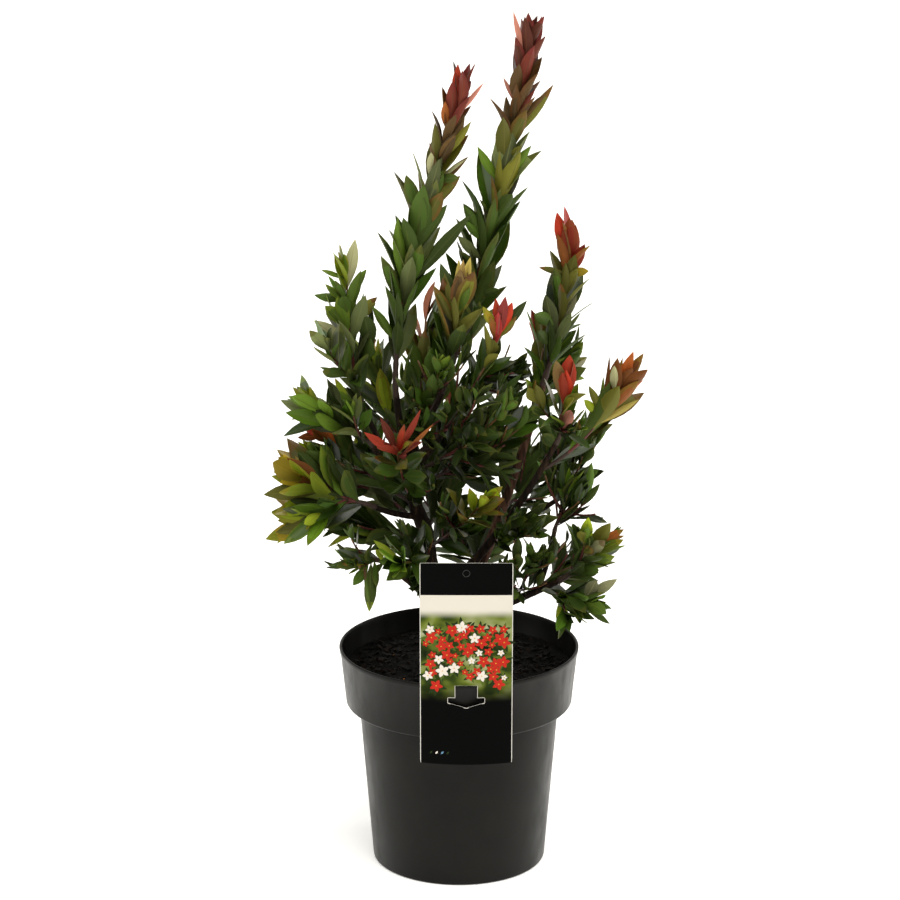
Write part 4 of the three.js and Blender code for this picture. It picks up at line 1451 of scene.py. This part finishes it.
MIX_RINGS = 46
MIX_SEGMENTS = 150
MIX_SHARP_ANGLE = 35
MIX_SINK = 0.9  # how far the surface lies below its level in the CAD source
LUMPS = ((0.13, 1.7, 1.3), (0.45, 5.1, 0.7))  # frequency, offset and height
MIX_MATERIALS = (
    ("mix_body", "040403", 0.95),
    ("mix_chip_black", "060504", 0.85),
    ("mix_chip_brown", "150d08", 0.85),
    ("mix_chip_grey", "171512", 0.8),
    ("mix_crumb", "a86a34", 0.8),
)
CHIP_COUNT = 2000
CHIP_SIZES, CHIP_SIZE_POWER = (1.2, 8), 2.2
CHIP_NEAREST, CHIP_PLACE_POWER = 16, 0.6  # to the pot's axis
CHIP_WIDTHS, CHIP_DEPTHS = (0.16, 0.36), (0.08, 0.22)
CHIP_TILT = 0.75
CHIP_RAGGED = (0.55, 1.1)
CHIP_STANDS = 0.6  # of its half depth above the mix
CHIP_KINDS = 3
CRUMB_SLOT, CRUMB_SHARE, CRUMB_SCALE = 4, 0.012, 0.4


def mix_height(x, y):
    """Height of the mix: lumps of bark, lower towards the wall, level round the trunk's foot."""
    radius = math.hypot(x, y)
    edge = inner_radius(MIX_SURFACE)
    loose = float(smooth_step(MIX_FLAT_RADIUS, edge / 2, radius))
    lumps = sum(
        height * noise.noise(Vector((x * often, y * often, offset)))
        for often, offset, height in LUMPS
    )
    return MIX_SURFACE - MIX_SINK + loose * (lumps - MIX_EDGE_DROP * (radius / edge) ** 2)


def mix_piece():
    """The surface of the mix over its body, strewn with chips of bark and a few pale crumbs."""
    random = Seeded(MIX_SEED)
    edge = inner_radius(MIX_SURFACE - MIX_EDGE_DROP) - GAP
    ledge = COLLAR + POT_WALL
    bottom = POT_FLOOR + GAP
    profile = [
        (0, bottom),
        (inner_radius(bottom) - GAP - 1, bottom),
        (POT_BODY_TOP - POT_WALL - 2 * GAP, ledge - 1),
        (POT_BODY_TOP - POT_WALL - GAP, ledge + 2 * GAP),
        (POT_COLLAR_BOTTOM - POT_WALL - 6 * GAP, ledge + 4 * GAP),
        *((edge * (1 - i / MIX_RINGS), MIX_SURFACE) for i in range(MIX_RINGS)),
        (0, MIX_SURFACE),
    ]
    vertices, faces = lathe(profile, MIX_SEGMENTS)
    surface = vertices[:, 2] > MIX_SURFACE - 1
    vertices[surface, 2] = [mix_height(x, y) for x, y, _ in vertices[surface]]
    parts = MeshParts()
    parts.add(vertices, faces, 0)
    for _ in range(CHIP_COUNT):
        add_chip(parts, random, edge)
    materials = [
        grained_material(*row, (600, 5), 0.0008, Specular_IOR_Level=0.15) for row in MIX_MATERIALS
    ]
    stand_for(parts.piece("bark_mix", materials, MIX_SHARP_ANGLE), "potting_mix", "potting_mix")


CHIP_CORNERS = [(x, y, z) for x in (-1, 1) for y in (-1, 1) for z in (-1, 1)]
CHIP_FACES = [(0, 1, 3, 2), (4, 6, 7, 5), (0, 4, 5, 1), (2, 3, 7, 6), (0, 2, 6, 4), (1, 5, 7, 3)]


def add_chip(parts, random, edge):
    """A flat splinter of bark with uneven corners, lying on the mix at any turn."""
    size = lerp(*CHIP_SIZES, random() ** CHIP_SIZE_POWER)
    radius = lerp(CHIP_NEAREST, edge - size - 1, random() ** CHIP_PLACE_POWER)
    turn = 2 * math.pi * random()
    x, y = radius * math.cos(turn), radius * math.sin(turn)
    crumb = random() < CRUMB_SHARE
    if crumb:
        size *= CRUMB_SCALE
    half = (size / 2, size * random.between(*CHIP_WIDTHS), size * random.between(*CHIP_DEPTHS))
    spin = Matrix.Rotation(2 * math.pi * random(), 3, "Z")
    rotation = spin @ Matrix.Rotation(random.between(-CHIP_TILT, CHIP_TILT), 3, "Y")
    middle = Vector((x, y, mix_height(x, y) + half[2] * CHIP_STANDS))
    corners = []
    for corner in CHIP_CORNERS:
        bent = Vector([c * h * random.between(*CHIP_RAGGED) for c, h in zip(corner, half)])
        corners.append(rotation @ bent + middle)
    parts.add(corners, CHIP_FACES, CRUMB_SLOT if crumb else 1 + int(random() * CHIP_KINDS))


# ---------------------------------------------------------------- label

LABEL_BOW = 5  # how far the foot's corners stand back from its middle
LABEL_COLUMNS = 38
LABEL_SHARP_ANGLE = 30
HOLE_RADIUS = 3
HOLE_DROP = 9  # from the label's top edge
HOLE_SIDES = 24
HEAD_BAND = 28  # depth of the dark band at the top
PALE_BAND = 12
PICTURE_BAND = 83
FOOT_BAND = LABEL_ABOVE + LABEL_BELOW - HEAD_BAND - PALE_BAND - PICTURE_BAND
PICTURE_TOP = LABEL_ABOVE - HEAD_BAND - PALE_BAND
PICTURE_FADES = (9, 22)  # at its top and bottom
BAND_ROW = 3  # about the height of a row of the card's faces
BLACK, PALE, PICTURE, BARE = range(4)  # the label's materials
CARD_MARGIN = 0.6  # of bare card at both sides
CUT_LINE = 0.5  # breadth of bare card along the cut tongue
CUTTER_HEIGHTS = (-2, 3)  # below and above the card
FOLD_SHARES, FOLD_RISE = (0.2, 0.5, 0.8), 0.6  # of the way over the rim, and of the thickness
INK = 0.05  # how far each layer of print stands out from the card

# The print: rows of blooms, with ranges of how far each is off its place, and its size.
BLOOM_ROWS = BLOOM_COLUMNS = 8
BLOOM_LEFT, BLOOM_DROP = -31, 18
BLOOM_STEPS = (8.9, 7.2)
BLOOM_SHIFT = 4.4  # of every other row
BLOOM_OFF = (2.2, 2.6)
BLOOM_SIZES = (3.2, 7.2)
BLOOM_POINTS = 5
SPRIG, PETAL = (1.4, 0.45), (0.85, 0.5)  # length and width over the bloom's size
EYE = (1.2, 1.1)  # and in mm
SPRIG_TURN, SPRIG_OFF = 1.26, 0.4
SPRIG_GREENS = 1.4  # so that two in seven sprigs take the second green
WHITE_SHARE = 0.3
TONGUE_ROOM, TONGUE_TOP = 7, 7  # kept free of blooms beside and above the tongue's cut
RED, DARK_GREEN, GREEN, WHITE, YELLOW, CUT, RING_MARK, BLUE = range(8)
PRINT_COLOURS = (
    ("red", "b3261a"),
    ("dark_green", "1f2e10"),
    ("green", "4a5a20"),
    ("white", "d8d0c6"),
    ("yellow", "c8a23c"),
    ("cut", "b9b5ad"),
    ("ring", "4a4a48"),
    ("blue", "5f86a0"),
)
DOTS = (DARK_GREEN, WHITE, BLUE, DARK_GREEN)  # in a row at the foot
DOT_LEFT, DOT_STEP, DOT_HEIGHT = -30, 4.6, -62


def on_label(x, y, z):
    """A point of the label, from its place across, up and out from the card, to the row's frame."""
    share = (LABEL_ABOVE - y) / (LABEL_ABOVE + LABEL_BELOW)
    z = z - LABEL_BOW * share**1.5 * (x / (LABEL_WIDTH / 2)) ** 2
    lean = LABEL_LEAN + math.pi / 2
    return (
        LABEL_CENTRE_X + x,
        -POT_LIP_RADIUS - GAP + y * math.cos(lean) - z * math.sin(lean),
        POT_HEIGHT + GAP + y * math.sin(lean) + z * math.cos(lean),
    )


def label_rows():
    """Heights of the card's rows of faces, from top to bottom, and the material of each row."""
    heights, slots = [LABEL_ABOVE], []
    bands = ((HEAD_BAND, BLACK), (PALE_BAND, PALE), (PICTURE_BAND, PICTURE), (FOOT_BAND, BLACK))
    for depth, slot in bands:
        count = max(1, round(depth / BAND_ROW))
        top = heights[-1]
        heights += [lerp(top, top - depth, (i + 1) / count) for i in range(count)]
        slots += [slot] * count
    return heights, slots


def card_parts():
    """The card as a thin box of columns and rows: bands in front, pale behind and at its edges."""
    heights, row_slots = label_rows()
    half = LABEL_WIDTH / 2
    inner = half - CARD_MARGIN
    across = [-half, *np.linspace(-inner, inner, LABEL_COLUMNS - 1), half]
    columns, rows = len(across), len(heights)
    outline = [rounded_corner(x, y) for y in heights for x in across]
    vertices = [(x, y, z) for z in (LABEL_THICKNESS, 0) for x, y in outline]
    back = rows * columns
    faces, slots = [], []
    for i in range(rows - 1):
        for j in range(columns - 1):
            a, b = i * columns + j, i * columns + j + 1
            c, d = b + columns, a + columns
            faces += [[a, d, c, b], [v + back for v in (a, b, c, d)]]
            slots += [BARE if j in (0, columns - 2) else row_slots[i], BARE]
    rim = list(range(columns))
    rim += [i * columns + columns - 1 for i in range(1, rows)]
    rim += [(rows - 1) * columns + j for j in range(columns - 2, -1, -1)]
    rim += [i * columns for i in range(rows - 2, 0, -1)]
    for a, b in zip(rim, rim[1:] + rim[:1]):
        faces.append([a, b, b + back, a + back])
        slots.append(BARE)
    return vertices, faces, slots


def rounded_corner(x, y):
    """Draws a corner of the card in to its rounding."""
    inner_x = LABEL_WIDTH / 2 - LABEL_CORNER
    inner_y = LABEL_ABOVE - LABEL_CORNER if y > 0 else -LABEL_BELOW + LABEL_CORNER
    over_x = abs(x) - inner_x
    over_y = abs(y - inner_y) if (y > inner_y) == (y > 0) else 0
    if over_x <= 0 or over_y <= 0:
        return x, y
    shrink = max(over_x, over_y) / math.hypot(over_x, over_y)
    corner_x, corner_y = over_x * shrink, over_y * shrink
    return math.copysign(inner_x + corner_x, x), inner_y + math.copysign(corner_y, y)


def tongue_outline():
    neck, barb, length = LABEL_NECK_WIDTH / 2, LABEL_BARB_WIDTH / 2, LABEL_NECK_LENGTH
    point = -length - LABEL_BARB_LENGTH
    shoulder = point + LABEL_BARB_LENGTH / 2
    left = [(-neck, 0), (-neck, -length), (-barb, -length), (-barb, shoulder)]
    return [*left, (0, point), *((-x, y) for x, y in reversed(left))]


def slab(outline, low, high):
    """A flat outline given a thickness between two heights."""
    count = len(outline)
    vertices = [(x, y, z) for z in (low, high) for x, y in outline]
    faces = [list(range(count))[::-1], [count + i for i in range(count)]]
    for i in range(count):
        k = (i + 1) % count
        faces.append([i, k, count + k, count + i])
    return vertices, faces


def motif_leaf(x, y, angle, length, width, steps=6):
    """A pointed oval from a point outwards, as a flat outline."""
    shares = [(1, i / steps) for i in range(steps)] + [(-1, 1 - i / steps) for i in range(steps)]
    outline = []
    for sign, share in shares:
        across = sign * width / 2 * math.sin(math.pi * share)
        along = length * share
        right = x + along * math.cos(angle) - across * math.sin(angle)
        outline.append((right, y + along * math.sin(angle) + across * math.cos(angle)))
    return outline[::-1]


def ribbon(outline, width, closed):
    """Quads of one width along the inner side of a line."""
    count = len(outline)
    strips = []
    for i in range(count if closed else count - 1):
        a, b = Vector(outline[i]), Vector(outline[(i + 1) % count])
        inwards = Vector((a.y - b.y, b.x - a.x)).normalized() * width
        strips.append([tuple(a), tuple(b), tuple(b + inwards), tuple(a + inwards)])
    return strips


def motif_parts():
    """Loose rows of plain five-petalled blooms with leaves between them, in layers of print."""
    parts = MeshParts()
    random = Seeded(PRINT_SEED)

    def print_shape(outline, layer, slot):
        low = LABEL_THICKNESS - INK
        parts.add(*slab(outline, low, LABEL_THICKNESS + INK * layer), slot)

    tongue_half = LABEL_BARB_WIDTH / 2 + TONGUE_ROOM
    for row in range(BLOOM_ROWS):
        for column in range(BLOOM_COLUMNS - row % 2):
            x = BLOOM_LEFT + BLOOM_STEPS[0] * column + BLOOM_SHIFT * (row % 2)
            x += random.between(-BLOOM_OFF[0], BLOOM_OFF[0])
            y = PICTURE_TOP - BLOOM_DROP - BLOOM_STEPS[1] * row
            y += random.between(-BLOOM_OFF[1], BLOOM_OFF[1])
            turn = 2 * math.pi * random()
            size = random.between(*BLOOM_SIZES)
            if abs(x) < tongue_half and y < TONGUE_TOP:
                continue
            for i in range(BLOOM_POINTS):
                angle = turn + SPRIG_TURN * i + random.between(-SPRIG_OFF, SPRIG_OFF)
                green = (DARK_GREEN, GREEN)[int(SPRIG_GREENS * random())]
                print_shape(motif_leaf(x, y, angle, *(size * part for part in SPRIG)), 1, green)
            petals = WHITE if random() < WHITE_SHARE else RED
            for i in range(BLOOM_POINTS):
                angle = turn + 2 * math.pi * i / BLOOM_POINTS
                print_shape(motif_leaf(x, y, angle, *(size * part for part in PETAL)), 2, petals)
            print_shape(motif_leaf(x - EYE[0] / 2, y, 0, *EYE), 3, YELLOW)
    for outline in ribbon(tongue_outline(), -CUT_LINE, False):
        print_shape(outline, 1, CUT)
    hole = LABEL_ABOVE - HOLE_DROP
    ring = [
        (HOLE_RADIUS * math.cos(t), hole + HOLE_RADIUS * math.sin(t)) for t in turns(HOLE_SIDES)
    ]
    for outline in ribbon(ring, CUT_LINE / 2, True):
        print_shape(outline, 1, RING_MARK)
    for i, slot in enumerate(DOTS):
        dot = motif_leaf(DOT_LEFT + DOT_STEP * i, DOT_HEIGHT, 0.9, 3.4, 1.5)
        print_shape(dot, 1, slot)
    return parts


def label_pieces():
    """The hang-on card with its tongue hooked over the rim, and the generic print on it."""
    vertices, faces, slots = card_parts()
    materials = label_materials()
    card = make_piece("label_card", vertices, faces, materials, slots)
    parts = MeshParts()
    parts.add(*slab(tongue_outline(), *CUTTER_HEIGHTS), 0)
    cut_with(card, parts.piece("label_cutter", [materials[BARE]]))
    points = [vertex.co / MM for vertex in card.data.vertices]
    for vertex, point in zip(card.data.vertices, points):
        vertex.co = Vector(on_label(*point)) * MM
    card.data.set_sharp_from_angle(angle=math.radians(LABEL_SHARP_ANGLE))
    stand_for(card, "label", "plant_label")
    motifs = motif_parts()
    motifs.vertices = [np.array([on_label(*p) for p in block]) for block in motifs.vertices]
    inks = [label_material("motif_" + name, colour, 0.5, 0.08) for name, colour in PRINT_COLOURS]
    sprigs = motifs.piece("label_sprigs", inks, LABEL_SHARP_ANGLE)
    stand_for(sprigs, "label", "plant_label")
    tongue_piece(materials[BARE])


def tongue_piece(material):
    """The cut tongue: over the rim in a rounded fold, then down inside the pot's wall."""
    neck, barb = LABEL_NECK_WIDTH / 2, LABEL_BARB_WIDTH / 2
    half_sheet = LABEL_THICKNESS / 2
    leg = LABEL_HOOK_SPAN - 2 * half_sheet
    rows = [(0, half_sheet, neck)]
    for share in FOLD_SHARES:
        rise = LABEL_THICKNESS * (0.5 + FOLD_RISE * math.sin(math.pi * share))
        rows.append((rise, half_sheet - leg * share, neck))
    inside = [(neck, 0), (neck, -2.6), (barb, -3.2), (barb, -7.8), (0.2, -12)]  # half width, y
    rows += [(y, half_sheet - leg, half) for half, y in inside]
    points = [Vector(on_label(x, y, z)) for y, z, half in rows for x in (-half, half)]
    faces = [[i, i + 1, i + 3, i + 2] for i in range(0, len(points) - 2, 2)]
    tongue = make_piece("label_tongue", points, faces, [material])
    apply_modifier(tongue, "SOLIDIFY", thickness=LABEL_THICKNESS * MM, offset=0)
    stand_for(tongue, "label", "plant_label")


def axis_ramp(owner, coordinates, axis, **span):
    """A node whose result runs from one value to another along an axis of some coordinates."""
    place = add_node(owner, "TexCoord").outputs[coordinates]
    split = add_node(owner, "SeparateXYZ", Vector=place)
    return add_node(owner, "MapRange", Value=split.outputs[axis], **span)


def fade_into(material, colour, low, high):
    """Fades a material into another colour between two heights over the label's fold, in mm."""
    span = {"From_Min": (POT_HEIGHT + low) * MM, "From_Max": (POT_HEIGHT + high) * MM}
    ramp = axis_ramp(material, "Object", "Z", **span)
    ramp.interpolation_type = "SMOOTHSTEP"
    base = shader_of(material).inputs["Base Color"]
    mix = add_node(material, "Mix")
    mix.data_type = "RGBA"
    set_inputs(mix, Factor=ramp.outputs["Result"])
    first, second, result = mix.inputs[6], mix.inputs[7], mix.outputs[2]  # the sockets for colours
    second.default_value = linear(colour)
    material.node_tree.links.new(base.links[0].from_socket, first)
    material.node_tree.links.new(result, base)


def label_material(name, colour, roughness, specular):
    grain = (300, 3)
    return grained_material(
        name, colour, roughness, grain, 0.0001, 0.3, Specular_IOR_Level=specular
    )


def label_materials():
    """Black print, pale print, the blurred green picture with soft ends, and the bare card."""
    black, pale = "030303", "d2ccc0"
    picture = label_material("label_picture", "5a6b3a", 0.45, 0.03)
    stops = list(
        zip((0.32, 0.44, 0.54, 0.64, 0.76), ("10180a", "2f3d12", "66722a", "8f9468", "b9b9ac"))
    )
    add_ramp(picture, noise_node(picture, 30, 2, (1, 1, 1.6)), "Base_Color", stops)
    bottom = PICTURE_TOP - PICTURE_BAND
    fade_into(picture, pale, PICTURE_TOP - PICTURE_FADES[0], PICTURE_TOP)
    fade_into(picture, black, bottom + PICTURE_FADES[1], bottom)
    return [
        label_material("label_black", black, 0.45, 0.03),
        label_material("label_pale", pale, 0.5, 0.08),
        picture,
        label_material("label_card_edge", "d2cfc8", 0.5, 0.08),
    ]


# ---------------------------------------------------------------- stage, light and camera

FLOOR_HALF = 40
FLOOR_GLOW = 0.22
WARM = (1, 0.98, 0.92)
WORLD_FRONT, WORLD_BACK = 0.26, 0.8
WORLD_SPAN = {"From_Min": -1, "From_Max": 0.2, "To_Min": WORLD_FRONT, "To_Max": WORLD_BACK}
SUN_STRENGTH = 2.45
SUN_ANGLE = math.radians(50)
SUN_TURN = (math.radians(24), math.radians(10), 0)
LIGHT_TARGET = Vector((0, 0, 0.35))
SOFTBOXES = (  # place, size and power
    ("left_softbox", (-2.2, -0.6, 1.2), (0.8, 1.8), 14),
    ("right_softbox", (2.2, 0.5, 1.0), (0.8, 2.0), 18),
)

CAMERA_DISTANCE = 3.0  # from the middle of the pot's rim, in metres
CAMERA_HEIGHT_ANGLE = math.radians(19.7)  # above the rim
CAMERA_PITCH = math.radians(16.556)  # down
CAMERA_YAW = math.radians(0.154)  # to the left
CAMERA_LENS = 141.28
CAMERA_SENSOR = 36


def make_stage():
    corners = [(x * FLOOR_HALF, y * FLOOR_HALF, 0) for x, y in ((-1, -1), (1, -1), (1, 1), (-1, 1))]
    mesh = bpy.data.meshes.new("floor")
    mesh.from_pydata(corners, [], [(0, 1, 2, 3)])
    glow = {"Emission_Color": linear("ffffff"), "Emission_Strength": FLOOR_GLOW}
    paper = plain_material("studio_floor", "ffffff", 0.9, Specular_IOR_Level=0.1, **glow)
    mesh.materials.append(paper)
    floor = add_object("floor", mesh)


def make_light():
    world = bpy.data.worlds.new("studio")
    world.use_nodes = True
    strength = axis_ramp(world, "Generated", "Y", **WORLD_SPAN).outputs["Result"]
    set_inputs(world.node_tree.nodes["Background"], Strength=strength, Color=(*WARM, 1))
    bpy.context.scene.world = world
    sun = bpy.data.lights.new("overhead", "SUN")
    sun.energy, sun.color, sun.angle = SUN_STRENGTH, WARM, SUN_ANGLE
    add_object("overhead", sun, rotation=SUN_TURN)
    for name, place, size, power in SOFTBOXES:
        box = bpy.data.lights.new(name, "AREA")
        box.shape = "RECTANGLE"
        box.size, box.size_y = size
        box.energy, box.color = power, WARM
        direction = LIGHT_TARGET - Vector(place)
        add_object(name, box, place, direction.to_track_quat("-Z", "Y").to_euler())


def make_camera():
    data = bpy.data.cameras.new("camera")
    data.sensor_width = CAMERA_SENSOR
    data.lens = CAMERA_LENS
    behind = CAMERA_DISTANCE * math.cos(CAMERA_HEIGHT_ANGLE)
    above = CAMERA_DISTANCE * math.sin(CAMERA_HEIGHT_ANGLE)
    place = (0, -behind, POT_HEIGHT * MM + above)
    turn = (math.pi / 2 - CAMERA_PITCH, 0, CAMERA_YAW)
    bpy.context.scene.camera = add_object("camera", data, place, turn)


# ---------------------------------------------------------------- the assembly

make_camera()
make_stage()
make_light()
bpy.context.scene.view_settings.view_transform = "Standard"

pot_piece()
mix_piece()
label_pieces()

limbs = grow_limbs()
dark_bark = bark_material("bark", BARK_DARK)
pink_bark = bark_material("bark_pink", BARK_PINK)
for limb in limbs.values():
    bark_piece(limb, pink_bark if limb.name == "second_stem" else dark_bark)

clear = clearance_test(limbs)
shoots, space = grow_shoots(limbs, clear)
accents = accent_rows()
clear_of_sky = sky_test()
wood = twig_materials()
for shoot in shoots:
    keeps = own_space(shoot, space, clear, clear_of_sky)
    for twig in shoot.twigs:
        leaves_along(shoot, twig, keeps)
    add_accents(shoot, accents)
    leaves_piece(shoot)
    twigs_piece(shoot, wood)
